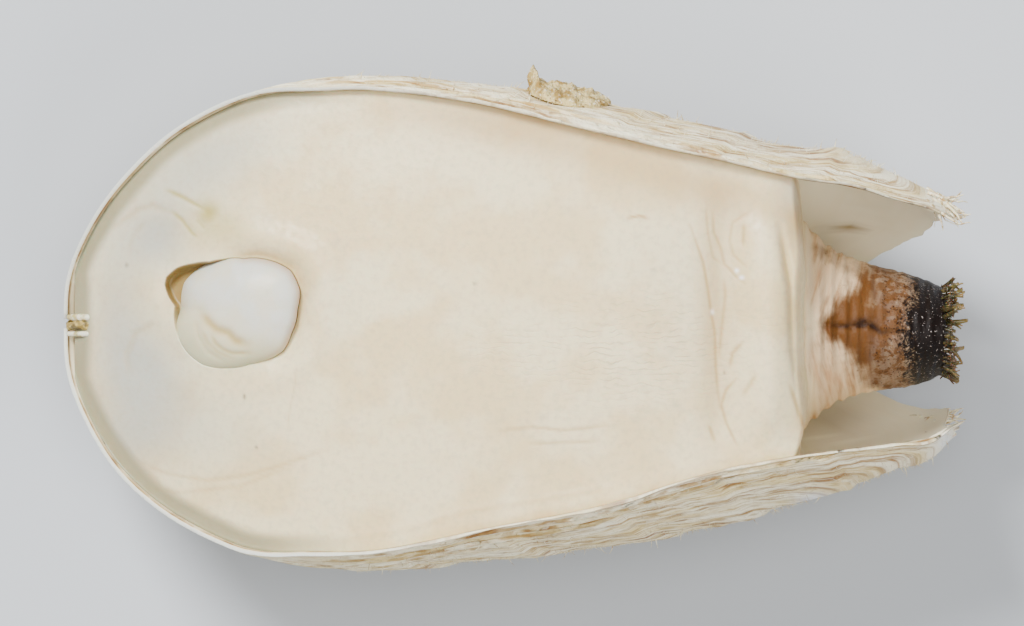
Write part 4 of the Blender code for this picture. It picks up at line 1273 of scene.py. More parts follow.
    def build(self) -> bpy.types.Object:
        """Build the body.

        Returns:
            The object, with its attributes.
        """
        full = self.row_places()
        turn = np.linspace(0.0, math.pi / 2, self.cap_rows + 2)[1:-1]
        front_share, rear_share = np.cos(turn[::-1]) ** 0.7, np.cos(turn) ** 0.7
        x = np.concatenate(([self.front] * self.cap_rows, full, [self.rear] * self.cap_rows))
        share = np.concatenate((front_share, np.ones(self.rows), rear_share))
        push = np.concatenate((-0.03 * np.sin(turn[::-1]), np.zeros(self.rows), 0.5 * np.sin(turn)))
        r = station(x)[:, None]
        across = np.linspace(0.0, 1.0, self.columns + 1)
        spread = across + 0.035 * np.sin(2.0 * math.pi * across)
        knots, shares = np.array(self.corners).T
        rounded = self.corner_x + (x[:, None] - self.corner_x) * np.interp(spread, knots, shares)
        skin = self.skin(station(np.where(x[:, None] > self.corner_x, rounded, x[:, None])), spread[None] + 0 * r)
        flat = skin[..., :2].copy()
        moved = self.gathered(flat)
        near = np.linalg.norm(flat - PICTURE.place(self.foot_middle), axis=-1) < 4.2
        lift = np.zeros(flat.shape[:-1])
        lift[near] = self.height(moved[near]) - self.height(flat[near])
        moved = np.where(near[..., None], moved, flat)
        pulled, pocket = self.hole(moved)
        fade = np.sin(math.pi * np.clip(across, 0.0, 1.0)) ** 0.3
        skin[..., :2] = moved
        rim = self.rim_share(moved)
        skin[..., 2] += lift - pulled + self.relief(moved) * fade - rim * self.band_drop * np.minimum(fade * 1.6, 1.0)
        wall = self.wall(r, self.under_columns)
        rings = np.concatenate((skin, wall), axis=1)
        centre = np.stack((rings[..., 0].mean(1), np.zeros_like(x), (BACK(r) + MARGIN(r))[:, 0] / 2), axis=-1)[:, None]
        rings = centre + (rings - centre) * share[:, None, None]
        rings[..., 0] += push[:, None]
        made = lofted("mantle_skin", rings)
        self.tag_skin(made, rings[..., :2], pocket)
        return made

    def rim_share(self, places: np.ndarray) -> np.ndarray:
        """Find the thin band beside the valves' front rim.

        Args:
            places: Points, x and y in the last axis.

        Returns:
            1 on the band and 0 further in.
        """
        x = np.linspace(self.front, -4.0, 70)
        r = station(x)
        left, right = self.skin(r, np.zeros_like(r)), self.skin(r, np.ones_like(r))
        outline = np.concatenate((left[::-1, :2], right[:, :2]))
        front = places[..., 0] < -4.0
        share = np.zeros(places.shape[:-1])
        away, _ = line_distance(places[front], outline)
        wavy = self.band_width + 0.05 * noise(places[front], 1.1, 27, 2)
        share[front] = (1.0 - step(away, wavy - 0.2, wavy + 0.2)) * (1.0 - step(places[front][:, 0], -9.0, -4.5))
        return share

    def wall(self, r: np.ndarray, count: int) -> np.ndarray:
        """Return the body's underside, from the right edge along both valves to the left edge."""
        below = np.linspace(0.0, 1.0, count + 2)[1:-1][None] + 0 * r
        inset = -(Shell.WALL + self.gap)
        right_angle = self.edge_angle(RIGHT_FORM, r) * np.clip(1.0 - 2.0 * below, 0.0, 1.0)
        left_angle = self.edge_angle(LEFT_FORM, r) * np.clip(2.0 * below - 1.0, 0.0, 1.0)
        right = RIGHT_FORM.offset(r + 0 * below, right_angle, inset)
        left = LEFT_FORM.offset(r + 0 * below, left_angle, inset)
        return np.where((below < 0.5)[..., None], right, left)

    def tag_skin(self, made: bpy.types.Object, places: np.ndarray, pocket: np.ndarray) -> None:
        """Store what the mantle's material reads.

        Args:
            made: The object.
            places: x and y of its points, ring by ring.
            pocket: How deep in the foot's hole the points of the upper side lie.
        """
        on_top = (np.arange(places.shape[1]) <= self.columns)[None] + np.zeros(places.shape[:2])
        deep = np.zeros(places.shape[:2])
        deep[:, :pocket.shape[1]] = pocket
        for name, marks in (("crease", self.creases), ("olive", self.olive_lines), ("fleck", self.flecks),
                            ("spot", self.spots), ("painted_glint", self.specks)):
            tag(made, name, np.clip(most(marks, places), 0.0, 1.0) * on_top)
        tag(made, "bluish", np.clip(sum(p.share(places) for p in self.bluish), 0.0, 0.85) * on_top)
        tag(made, "shade", np.clip(sum(p.share(places) for p in self.shades), 0.0, 0.9) * on_top)
        tag(made, "wrinkled", self.wrinkled(places) * on_top)
        # The tissue deep in the foot's hole: its own tan with painted shade of the recess
        tag(made, "pocket", deep)
        # Painted shade and see-through grey on the strip beside the front rim
        tag(made, "band", self.rim_share(places) * on_top)
        # Painted shade along the skin's sides, where it meets the valves in the rear half
        beside = np.zeros(places.shape[:2])
        rows = np.arange(self.columns + 1) / self.columns
        beside[:, :self.columns + 1] = np.exp(-((np.minimum(rows, 1.0 - rows) / 0.016) ** 2))
        tag(made, "beside", beside * step(places[..., 0], -4.0, 1.0))

    def dress(self, made: bpy.types.Object, finish: bpy.types.Material) -> None:
        """Give the mantle its material and its place in the model."""
        made.data.materials.append(finish)
        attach(made, "root")
        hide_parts("mantle")


@dataclass
class Foot:
    """The foot: a rounded knob that leans out of its hole, folded at its lower side."""

    body: Body
    rise: float = 0.55
    depth: float = 2.2
    around: int = 220
    rows: int = 104
    under_rows: int = 26
    creases: Sequence[Crease] = (
        Crease(((203, 312), (210, 322), (218, 329), (230, 333), (238, 341), (249, 344)), 0.17, 0.07, 0.85),
        Crease(((213, 335), (217, 343), (224, 349), (234, 353), (251, 353)), 0.08, 0.035, 0.55),
        Crease(((203, 331), (210, 343), (220, 352), (234, 358)), 0.08, 0.02, 0.35),
        Crease(((197, 318), (200, 336), (210, 352), (226, 361)), 0.1, 0.04, 0.15),
    )

    def build(self) -> bpy.types.Object:
        """Build the foot.

        Returns:
            The object, with its attributes.
        """
        middle = PICTURE.place(self.body.foot_middle)
        angle = np.linspace(0.0, 2.0 * math.pi, self.around, endpoint=False)
        aim = np.stack((np.cos(angle), np.sin(angle)), axis=-1)
        _, rim = self.body.radius(self.body.foot_edge, middle + aim)
        ring = (np.roll(rim, 1) + 2.0 * rim + np.roll(rim, -1)) / 4.0 - 0.02
        out = np.sin(np.linspace(0.02, math.pi / 2, self.rows))
        places = middle + aim[None] * (ring[None] * out[:, None])[..., None]
        base = self.body.height(places)
        lean = np.cos(angle - math.radians(20.0))
        free = 1.0 - step(np.cos(angle + math.radians(115.0)), 0.1, 0.8)
        open_side = step(np.cos(angle - math.radians(152.0)), 0.5, 0.95)
        sunk = 0.04 + 0.16 * free + 0.4 * open_side
        dome = np.maximum(1.0 - out[:, None] ** 2.6, 0.0) ** 0.5
        z = base - sunk * out[:, None] ** 3 + self.rise * dome + 0.08 * lean * out[:, None] ** 2
        for crease in self.creases:
            z = z - crease.depth * crease.share(places)
        z = z + 0.02 * noise(places, 0.9, 31, 2)
        top = np.concatenate((places, z[..., None]), axis=-1)
        down = np.linspace(0.0, 1.0, self.under_rows + 1)[1:]
        below = middle + aim[None] * (ring[None] * np.cos(down * math.pi / 2 * 0.97)[:, None])[..., None]
        low = z[-1][None] - self.depth * np.sin(down * math.pi / 2)[:, None]
        rings = np.concatenate((top, np.concatenate((below, low[..., None]), axis=-1)))
        made = lofted("foot_knob", rings)
        flat = rings[..., :2]
        offset = (flat - middle) / PICTURE.mm_per_pixel
        tag(made, "crease", np.clip(most(self.creases, flat), 0.0, 1.0))
        tag(made, "lower", step(-offset[..., 1] - 0.5 * offset[..., 0], -10.0, 40.0))
        away, rim = self.body.radius(self.body.foot_edge, flat)
        side = flat - middle
        aimed = side / np.maximum(np.linalg.norm(side, axis=-1, keepdims=True), 1e-6)
        lower_left = step(-0.42 * aimed[..., 0] - 0.91 * aimed[..., 1], 0.1, 0.8)
        right = step(0.94 * aimed[..., 0] + 0.34 * aimed[..., 1], -0.1, 0.7)
        tag(made, "veil", lower_left * step(away / rim, 0.35, 0.95) * 0.9)
        # Painted shade along the foot's right edge, beside the collar
        tag(made, "edge", right * step(away / rim, 0.84, 1.0) * 0.6)
        return made

    def dress(self, made: bpy.types.Object, finish: bpy.types.Material) -> None:
        """Give the foot its material and its place in the model."""
        made.data.materials.append(finish)
        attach(made, "root")
        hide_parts("foot")


@dataclass
class Siphon:
    """The siphon: a wrinkled double tube with two openings and a fringe of papillae."""

    rings: Sequence[tuple[float, float, float, float, float]] = (
        (9.6, 3.5, 3.2, -0.05, 6.3), (9.95, 3.1, 3.12, -0.05, 6.3), (10.15, 2.95, 3.0, -0.08, 6.3),
        (10.4, 2.7, 2.85, -0.1, 6.3), (10.9, 2.38, 2.7, -0.1, 6.3), (11.5, 2.18, 2.6, -0.12, 6.3),
        (12.2, 2.0, 2.5, -0.16, 6.3), (13.2, 1.83, 2.35, -0.22, 6.3), (13.9, 1.62, 2.2, -0.24, 6.3),
        (14.35, 1.42, 2.02, -0.25, 6.3))
    tip_x: float = 14.42
    around: int = 240
    rows: int = 210
    tip_rows: int = 24
    openings: Sequence[tuple[float, float, float]] = ((0.95, 0.62, 0.55), (-0.6, 0.62, 0.72))
    papilla_rows: Sequence[tuple[int, float, float]] = ((34, 0.97, 0.0), (27, 0.84, 0.04), (19, 0.7, 0.0))
    papilla_length: float = 0.72
    papilla_radius: float = 0.1
    branches: int = 4
    midline: Path = ((799, 326), (822, 325), (850, 327), (867, 324), (880, 333), (899, 333))
    midline_row: float = 326.0

    def section(self, x: np.ndarray) -> tuple[np.ndarray, ...]:
        """Return half-width, half-height and the middle's y and z at x."""
        knots = np.array(self.rings).T
        return tuple(np.interp(x, knots[0], line) for line in knots[1:])

    def build(self) -> bpy.types.Object:
        """Build the tube.

        Returns:
            The object, with its attributes.
        """
        x = np.linspace(self.rings[0][0], self.rings[-1][0], self.rows)
        angle = np.linspace(0.0, 2.0 * math.pi, self.around, endpoint=False)
        wide, tall, y, z = (np.convolve(np.pad(v, 4, "edge"), np.ones(9) / 9, "valid")[:, None]
                            for v in self.section(x))
        shape = x[:, None] + 0 * angle
        base = 1.0 - step(shape, 10.2, 12.4)
        turns = np.stack((np.cos(angle)[None] * 2.0 + 0 * shape, np.sin(angle)[None] * 2.0 + 0 * shape,
                          shape * 4.0), axis=-1)
        folds = np.sin(shape * 2.0 * math.pi / 0.42 + 1.6 * noise(turns, 1.6, 41, 2))
        swell = 0.05 * folds * (0.25 + 0.75 * base) + 0.03 * noise(turns, 0.6, 42, 2)
        grow = 1.0 + swell / np.maximum(wide, 1e-6)
        square = 1.0 + 0.05 * np.cos(2.0 * angle)[None] ** 2
        tube = np.stack((shape, y + wide * grow * square * np.cos(angle), z + tall * grow * square * np.sin(angle)),
                        axis=-1)
        crease, _ = line_distance(tube[..., :2], PICTURE.place(self.midline))
        upper = tube[..., 2] > z
        tube[..., 2] -= 0.1 * np.exp(-((crease / 0.12) ** 2)) * upper
        tip = self.tip(tube[-1])
        rings = np.concatenate((tube, tip))
        made = lofted("siphon_tube", rings)
        self.tag_skin(made, rings, np.exp(-((crease / 0.085) ** 2)) * upper)
        return made

    def tip(self, last: np.ndarray) -> np.ndarray:
        """Close the tube with a face that has the two openings pressed into it.

        Args:
            last: The tube's last ring.

        Returns:
            The face's rings, from the edge to the middle.
        """
        centre = np.array((self.tip_x, self.rings[-1][3], self.rings[-1][4]))
        rows = []
        for part in np.linspace(1.0, 0.0, self.tip_rows + 1)[1:]:
            ring = centre + (last - centre) * np.array((0.0, part, part))
            ring[:, 0] = self.tip_x + 0.1 * math.sqrt(max(1.0 - part, 0.0))
            for up, wide, tall in self.openings:
                away = ((ring[:, 1] - centre[1]) / wide) ** 2 + ((ring[:, 2] - centre[2] - up) / tall) ** 2
                ring[:, 0] -= 0.75 * np.clip(1.0 - away, 0.0, 1.0) ** 0.5
            rows.append(ring)
        return np.array(rows)

    def tag_skin(self, made: bpy.types.Object, rings: np.ndarray, midline: np.ndarray) -> None:
        """Store what the siphon's material reads: zones of pigment along it.

        Args:
            made: The object.
            rings: Its points, ring by ring.
            midline: How close the tube's points lie to the crease between its two channels.
        """
        pixels = (rings[..., 0] - PICTURE.front_x) / PICTURE.mm_per_pixel + PICTURE.front_pixel
        pixels = pixels + 9.0 * noise(rings, 1.1, 45, 1)
        rows = PICTURE.middle_pixel - rings[..., 1] / PICTURE.mm_per_pixel
        places = rings[..., :2]
        beside = rows - self.midline_row
        crown = bell(beside, 0.0, 58.0)
        start = 816.0 + 0.0115 * beside ** 2
        brown = step(pixels, start - 18.0, start + 36.0) * (1.0 - 0.65 * step(pixels, 862.0, 900.0))
        brown = brown * (0.6 + 0.4 * crown) + 0.25 * bell(pixels, 902.0, 14.0)
        along_midline = step(pixels, 806.0, 826.0) * (1.0 - step(pixels, 880.0, 905.0))
        brown = brown + 0.5 * bell(beside, 0.0, 12.0) * along_midline
        brown = brown + 0.42 * Patch((822, 252), (20, 8), 1.0, -25.0).share(places)
        brown = brown + 0.3 * Patch((850, 268), (26, 9), 1.0, -18.0).share(places)
        dark = step(pixels, 872.0, 944.0)
        line = np.zeros(rings.shape[:2])
        line[:midline.shape[0]] = midline
        line = line * (0.3 + 0.5 * step(pixels, 820.0, 850.0)) * step(pixels, 800.0, 820.0)
        line = line * (1.0 - 0.8 * step(pixels, 870.0, 892.0))
        blob = Patch((863, 322), (13, 6), 0.9).share(places)
        tag(made, "feather_mm", rings[..., 0] - np.abs(rings[..., 1] + 0.08) * 0.3)
        tag(made, "brown", np.clip(brown, 0.0, 1.2))
        tag(made, "spots", step(pixels, 862.0, 884.0) * (1.0 - 0.5 * dark))
        tag(made, "dark", dark)
        tag(made, "midline", np.clip(line + blob, 0.0, 0.95))
        tag(made, "rooted", 1.0 - step(pixels, 806.0, 818.0))

    def papillae(self, finish: bpy.types.Material) -> bpy.types.Object:
        """Build the fringe of papillae.

        Args:
            finish: The papillae's material.

        Returns:
            The object.
        """
        rng = np.random.default_rng(11)
        _, wide, tall, y, z = self.rings[-1]
        roots, aims, sizes = [], [], []
        for count, share, shift in self.papilla_rows:
            angle = (np.arange(count) + rng.uniform(-0.3, 0.3, count)) / count * 2.0 * math.pi + shift
            side = np.stack((np.zeros(count), np.cos(angle), np.sin(angle)), axis=-1)
            root = np.array((self.tip_x - 0.12, y, z)) + side * np.array((0.0, wide, tall)) * share
            aim = np.array((1.0, 0.0, 0.0)) + side * (0.2 + 0.3 * share) + rng.normal(0.0, 0.12, (count, 3))
            size = rng.uniform(0.6, 1.15, count) * (0.72 + 0.2 * share + 0.24 * np.sin(9.0 * angle + 4.0 * share))
            roots.append(root)
            aims.append(aim)
            sizes.append(size)
            # Each papilla carries short side branches towards its tip
            for branch in range(self.branches):
                up = self.papilla_length * rng.uniform(0.25, 0.75, count) * size
                roots.append(root + aim / np.linalg.norm(aim, axis=1, keepdims=True) * up[:, None])
                aims.append(aim + rng.normal(0.0, 0.75, (count, 3)))
                sizes.append(size * rng.uniform(0.3, 0.5, count))
        return Bristles("papilla_rods", self.papilla_length, self.papilla_radius, 0.55, 8).grow(
            "siphon_papillae", np.concatenate(roots), np.concatenate(aims), np.concatenate(sizes), finish)

    def dress(self, tube: bpy.types.Object, fringe: bpy.types.Object, finish: bpy.types.Material) -> None:
        """Give the siphon its material and both pieces their place in the model."""
        tube.data.materials.append(finish)
        for piece in (tube, fringe):
            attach(piece, "root")
            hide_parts("siphon")


def node_group(name: str, given: str, sizes: Sequence[str]) -> tuple[bpy.types.NodeTree, Any]:
    """Start a geometry node tree.

    Args:
        name: The tree's name.
        given: The name of the geometry that goes in.
        sizes: The names of the numbers that go in.

    Returns:
        The tree, and the sockets that give what goes in.
    """
    tree = bpy.data.node_groups.new(name, "GeometryNodeTree")
    tree.interface.new_socket(given, in_out="INPUT", socket_type="NodeSocketGeometry")
    for label in sizes:
        tree.interface.new_socket(label, in_out="INPUT", socket_type="NodeSocketFloat")
    tree.interface.new_socket("Result", in_out="OUTPUT", socket_type="NodeSocketGeometry")
    return tree, add(tree, "NodeGroupInput").outputs


def grown(name: str, start: bpy.types.Mesh, tree: bpy.types.NodeTree,
          sizes: Mapping[str, float]) -> bpy.types.Object:
    """Run a geometry node tree on a mesh and keep what it makes as a plain mesh.

    Args:
        name: The object's name.
        start: The points or lines that the tree works on.
        tree: The tree.
        sizes: Its numbers by name, in millimetres.

    Returns:
        The object.
    """
    made = bpy.data.objects.new(name, start)
    bpy.context.scene.collection.objects.link(made)
    modifier = made.modifiers.new("nodes", "NODES")
    modifier.node_group = tree
    sockets = {item.name: item.identifier for item in tree.interface.items_tree}
    for label, size in sizes.items():
        modifier[sockets[label]] = size * MM
    seen = made.evaluated_get(bpy.context.evaluated_depsgraph_get())
    mesh = bpy.data.meshes.new_from_object(seen)
    made.modifiers.clear()
    made.data = mesh
    return made


@dataclass
class Bristles:
    """Geometry nodes that set a tapered rod on every point of a cloud."""

    name: str
    length: float
    radius: float
    tip: float
    sides: int
    bend: float = 0.25

    def tree(self, finish: bpy.types.Material) -> bpy.types.NodeTree:
        """Build the node tree.

        Args:
            finish: The rods' material.

        Returns:
            The tree, whose inputs are the rod's length and radius in metres.
        """
        tree, given = node_group(self.name, "Points", ("Rod length", "Rod radius"))
        narrow = add(tree, "ShaderNodeMath", {0: given["Rod radius"], 1: self.tip}, operation="MULTIPLY")
        cone = add(tree, "GeometryNodeMeshCone", {
            "Vertices": self.sides, "Side Segments": 4, "Fill Segments": 1, "Radius Top": narrow.outputs[0],
            "Radius Bottom": given["Rod radius"], "Depth": given["Rod length"]})
        # A rod bows a little: it moves sideways with the square of its height
        at = add(tree, "GeometryNodeInputPosition").outputs[0]
        height = add(tree, "ShaderNodeSeparateXYZ", {0: at}).outputs[2]
        share = add(tree, "ShaderNodeMath", {0: height, 1: given["Rod length"]}, operation="DIVIDE").outputs[0]
        square = add(tree, "ShaderNodeMath", {0: share, 1: 2.0}, operation="POWER").outputs[0]
        bow = add(tree, "ShaderNodeMath", {0: given["Rod length"], 1: self.bend}, operation="MULTIPLY").outputs[0]
        sideways = add(tree, "ShaderNodeMath", {0: square, 1: bow}, operation="MULTIPLY").outputs[0]
        shift = add(tree, "ShaderNodeCombineXYZ", {0: sideways}).outputs[0]
        rod = add(tree, "GeometryNodeSetPosition", {"Geometry": cone.outputs["Mesh"], "Offset": shift})
        aim = add(tree, "GeometryNodeInputNamedAttribute", {"Name": "aim"}, data_type="FLOAT_VECTOR").outputs[0]
        size = add(tree, "GeometryNodeInputNamedAttribute", {"Name": "size"}, data_type="FLOAT").outputs[0]
        spun = add(tree, "FunctionNodeRandomValue", {2: 0.0, 3: 2.0 * math.pi, "Seed": 5}, data_type="FLOAT")
        start = add(tree, "FunctionNodeAxisAngleToRotation", {"Axis": (0.0, 0.0, 1.0), "Angle": spun.outputs[1]})
        turned = add(tree, "FunctionNodeAlignRotationToVector",
                     {"Rotation": start.outputs[0], "Factor": 1.0, "Vector": aim}, axis="Z")
        placed = add(tree, "GeometryNodeInstanceOnPoints", {
            "Points": given["Points"], "Instance": rod.outputs[0], "Rotation": turned.outputs[0], "Scale": size})
        real = add(tree, "GeometryNodeRealizeInstances", {0: placed.outputs[0]})
        smooth = add(tree, "GeometryNodeSetShadeSmooth", {0: real.outputs[0]})
        dressed = add(tree, "GeometryNodeSetMaterial", {"Geometry": smooth.outputs[0], "Material": finish})
        add(tree, "NodeGroupOutput", {0: dressed.outputs[0]})
        return tree

    def grow(self, name: str, roots: np.ndarray, aims: np.ndarray, sizes: np.ndarray,
             finish: bpy.types.Material) -> bpy.types.Object:
        """Set a rod on each root and turn the result into a plain mesh.

        Args:
            name: The object's name.
            roots: Where the rods start, in millimetres.
            aims: Which way they point.
            sizes: How large each is.
            finish: Their material.

        Returns:
            The object.
        """
        cloud = bpy.data.meshes.new(name + "_cloud")
        cloud.from_pydata((roots * MM).tolist(), [], [])
        cloud.attributes.new("aim", "FLOAT_VECTOR", "POINT").data.foreach_set("vector", aims.astype(np.float32).ravel())
        cloud.attributes.new("size", "FLOAT", "POINT").data.foreach_set("value", sizes.astype(np.float32))
        return grown(name, cloud, self.tree(finish), {"Rod length": self.length, "Rod radius": self.radius})


@dataclass
class Threads:
    """Geometry nodes that turn bundles of lines into wavy, tapering threads."""

    name: str
    radius: float
    wave: float
    seed: int
    sides: int = 6

    def tree(self, finish: bpy.types.Material) -> bpy.types.NodeTree:
        """Build the node tree.

        Args:
            finish: The threads' material.

        Returns:
            The tree, whose inputs are the thread's radius and wave in metres.
        """
        tree, given = node_group(self.name, "Lines", ("Thread radius", "Wave"))
        curves = add(tree, "GeometryNodeMeshToCurve", {0: given["Lines"]})
        even = add(tree, "GeometryNodeResampleCurve", {"Curve": curves.outputs[0], "Count": 14})
        grain = add(tree, "ShaderNodeTexNoise", {"Scale": 1.0 / (0.35 * MM), "Detail": 2.0, "W": float(self.seed)},
                    noise_dimensions="4D")
        centred = add(tree, "ShaderNodeVectorMath", {0: grain.outputs["Color"], 1: (-0.5, -0.5, -0.5)})
        wave = add(tree, "ShaderNodeVectorMath", {0: centred.outputs[0], "Scale": given["Wave"]}, operation="SCALE")
        along = add(tree, "GeometryNodeSplineParameter").outputs["Factor"]
        loose = add(tree, "ShaderNodeVectorMath", {0: wave.outputs[0], "Scale": along}, operation="SCALE")
        wavy = add(tree, "GeometryNodeSetPosition", {"Geometry": even.outputs[0], "Offset": loose.outputs[0]})
        taper = add(tree, "ShaderNodeMapRange", {0: along, 3: 1.0, 4: 0.25}).outputs[0]
        size = add(tree, "GeometryNodeInputNamedAttribute", {"Name": "size"}, data_type="FLOAT").outputs[0]
        each = add(tree, "ShaderNodeMath", {0: taper, 1: size}, operation="MULTIPLY").outputs[0]
        radius = add(tree, "ShaderNodeMath", {0: each, 1: given["Thread radius"]}, operation="MULTIPLY").outputs[0]
        thick = add(tree, "GeometryNodeSetCurveRadius", {"Curve": wavy.outputs[0], "Radius": radius})
        ring = add(tree, "GeometryNodeCurvePrimitiveCircle", {"Resolution": self.sides, "Radius": 1.0})
        solid = add(tree, "GeometryNodeCurveToMesh", {
            "Curve": thick.outputs[0], "Profile Curve": ring.outputs[0], "Scale": radius, "Fill Caps": True})
        smooth = add(tree, "GeometryNodeSetShadeSmooth", {0: solid.outputs[0]})
        real = add(tree, "GeometryNodeRealizeInstances", {0: smooth.outputs[0]})
        dressed = add(tree, "GeometryNodeSetMaterial", {"Geometry": real.outputs[0], "Material": finish})
        add(tree, "NodeGroupOutput", {0: dressed.outputs[0]})
        return tree

    def spin(self, name: str, lines: Sequence[np.ndarray], sizes: Sequence[float],
             finish: bpy.types.Material) -> bpy.types.Object:
        """Turn lines into threads and the result into a plain mesh.

        Args:
            name: The object's name.
            lines: Each thread's knots in millimetres.
            sizes: How thick each thread is.
            finish: Their material.

        Returns:
            The object.
        """
        points = np.concatenate(lines)
        firsts = np.cumsum([0, *(len(line) for line in lines)])
        edges = [(i, i + 1) for start, end in zip(firsts[:-1], firsts[1:]) for i in range(start, end - 1)]
        each = np.concatenate([np.full(len(line), size) for line, size in zip(lines, sizes)])
        mesh = bpy.data.meshes.new(name + "_lines")
        mesh.from_pydata((points * MM).tolist(), edges, [])
        mesh.attributes.new("size", "FLOAT", "POINT").data.foreach_set("value", each.astype(np.float32))
        return grown(name, mesh, self.tree(finish), {"Thread radius": self.radius, "Wave": self.wave})


@dataclass
class OuterSkin:
    """The frayed horny skin: threads at the rear tips and fine hairs along the sides."""

    hair_length: float = 0.11
    hair_radius: float = 0.013
    hair_count: int = 2000

    def hairs(self, form: ValveForm, name: str, finish: bpy.types.Material, seed: int) -> bpy.types.Object:
        """Build the fine hairs on one valve's side.

        Args:
            form: The valve.
            name: The object's name.
            finish: The hairs' material.
            seed: Which hairs.

        Returns:
            The object.
        """
        rng = np.random.default_rng(seed)
        r = station(rng.uniform(-6.0, 14.6, self.hair_count))
        turn = form.turn_at(r)
        angle = np.radians(75.0 + (turn - 77.0) * rng.uniform(0.0, 1.0, self.hair_count) ** 1.6)
        roots = form.offset(r, angle, -0.1)
        aims = form.normal(r, angle) + rng.normal(0.0, 0.55, (self.hair_count, 3)) + np.array((0.35, 0.0, 0.1))
        sizes = rng.uniform(0.5, 1.0, self.hair_count) * (1.0 + 1.2 * (rng.uniform(size=self.hair_count) > 0.94))
        return Bristles("hair_" + name, self.hair_length * 1.6, self.hair_radius, 0.2, 4, 0.5).grow(
            name, roots, aims, sizes, finish)

    def tuft(self, name: str, form: ValveForm, turns: tuple[float, float], aim: tuple[float, float, float],
             count: int, reach: float, finish: bpy.types.Material, seed: int) -> bpy.types.Object:
        """Build the frayed threads of one rear tip.

        Args:
            name: The object's name.
            form: The valve.
            turns: Section angles in degrees between which the threads start on the rear edge.
            aim: Which way they point.
            count: How many there are.
            reach: The longest thread's length.
            finish: Their material.
            seed: Which threads.

        Returns:
            The object.
        """
        rng = np.random.default_rng(seed)
        lines, sizes = [], []
        for _ in range(count):
            degrees = rng.uniform(*turns)
            turn = math.radians(degrees)
            x = float(form.rear_at(degrees)) - rng.uniform(0.1, 1.0)
            root = form.offset(station(x), turn, rng.uniform(-0.15, 0.06))
            ahead = np.array(aim) + rng.normal(0.0, 0.2, 3)
            ahead /= np.linalg.norm(ahead)
            length = reach * rng.uniform(0.45, 1.0) + (float(form.rear_at(degrees)) - x) * 0.7
            side = rng.normal(0.0, 0.09, (4, 3)) * np.array((0.0, 0.4, 0.9, 1.4))[:, None]
            knots = root + ahead * length * np.array((0.0, 0.35, 0.7, 1.0))[:, None] + side
            knots[:, 0] = np.minimum(knots[:, 0], Shell.REAR_X - 0.02)
            lines.append(knots)
            sizes.append(rng.uniform(0.35, 1.15))
        return Threads("threads_" + name, 0.075, 0.25, seed).spin(name, lines, sizes, finish)

    def dress(self, piece: bpy.types.Object, node: str | None) -> None:
        """Give a piece its place in the model."""
        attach(piece, "root")
        if node:
            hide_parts(node)


@dataclass
class BurrowCrust:
    """The lump of lime from the burrow, on the outside of the left valve."""

    span: tuple[float, float] = (0.4, 3.1)
    turns: tuple[float, float] = (84.0, 107.0)
    lumps: Sequence[tuple[float, float, float]] = ((0.05, 0.06, 0.66), (0.16, 0.06, 0.34), (0.3, 0.1, 0.3),
                                                   (0.52, 0.14, 0.32), (0.8, 0.13, 0.2))
    rows: int = 150
    around: int = 120

    def build(self) -> bpy.types.Object:
        """Build the crust.

        Returns:
            The object.
        """
        u = np.linspace(0.0, 1.0, self.rows)[:, None]
        half = self.around // 2
        v = np.concatenate((np.linspace(0.0, 1.0, half), np.linspace(1.0, 0.0, self.around - half)))[None]
        top = (np.arange(self.around) < half)[None]
        low, high = self.turns
        x = self.span[0] + (self.span[1] - self.span[0]) * u + 0.1 * np.sin(v * 9.0)
        outline = np.clip(np.sin(math.pi * np.clip(u, 0.004, 0.996)), 0.0, 1.0) ** 0.35
        turn = (low + high) / 2 + (v - 0.5) * (high - low) * outline
        flat = np.stack((x + 0 * v, turn * 0.14), axis=-1)
        crest = sum(tall * np.exp(-(((u - at) / wide) ** 2)) for at, wide, tall in self.lumps)
        crest = (crest + 0.1) * np.sin(math.pi * v) ** 0.5 + 0 * u
        rugged = noise(flat, 0.45, 51, 4) * 0.22 + noise(flat, 0.12, 52, 2) * 0.07
        ends = np.sin(math.pi * u) ** 0.25 * np.sin(math.pi * v) ** 0.25
        height = np.where(top, np.maximum(crest + rugged * ends, 0.02 * ends), -0.06)
        points = LEFT_FORM.offset(station(x + 0 * v), np.radians(turn + 0 * u), height)
        return lofted("burrow_lime", points)

    def dress(self, made: bpy.types.Object, finish: bpy.types.Material) -> None:
        """Give the crust its material and its place in the model."""
        made.data.materials.append(finish)
        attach(made, "root")
        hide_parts("burrow_crust")


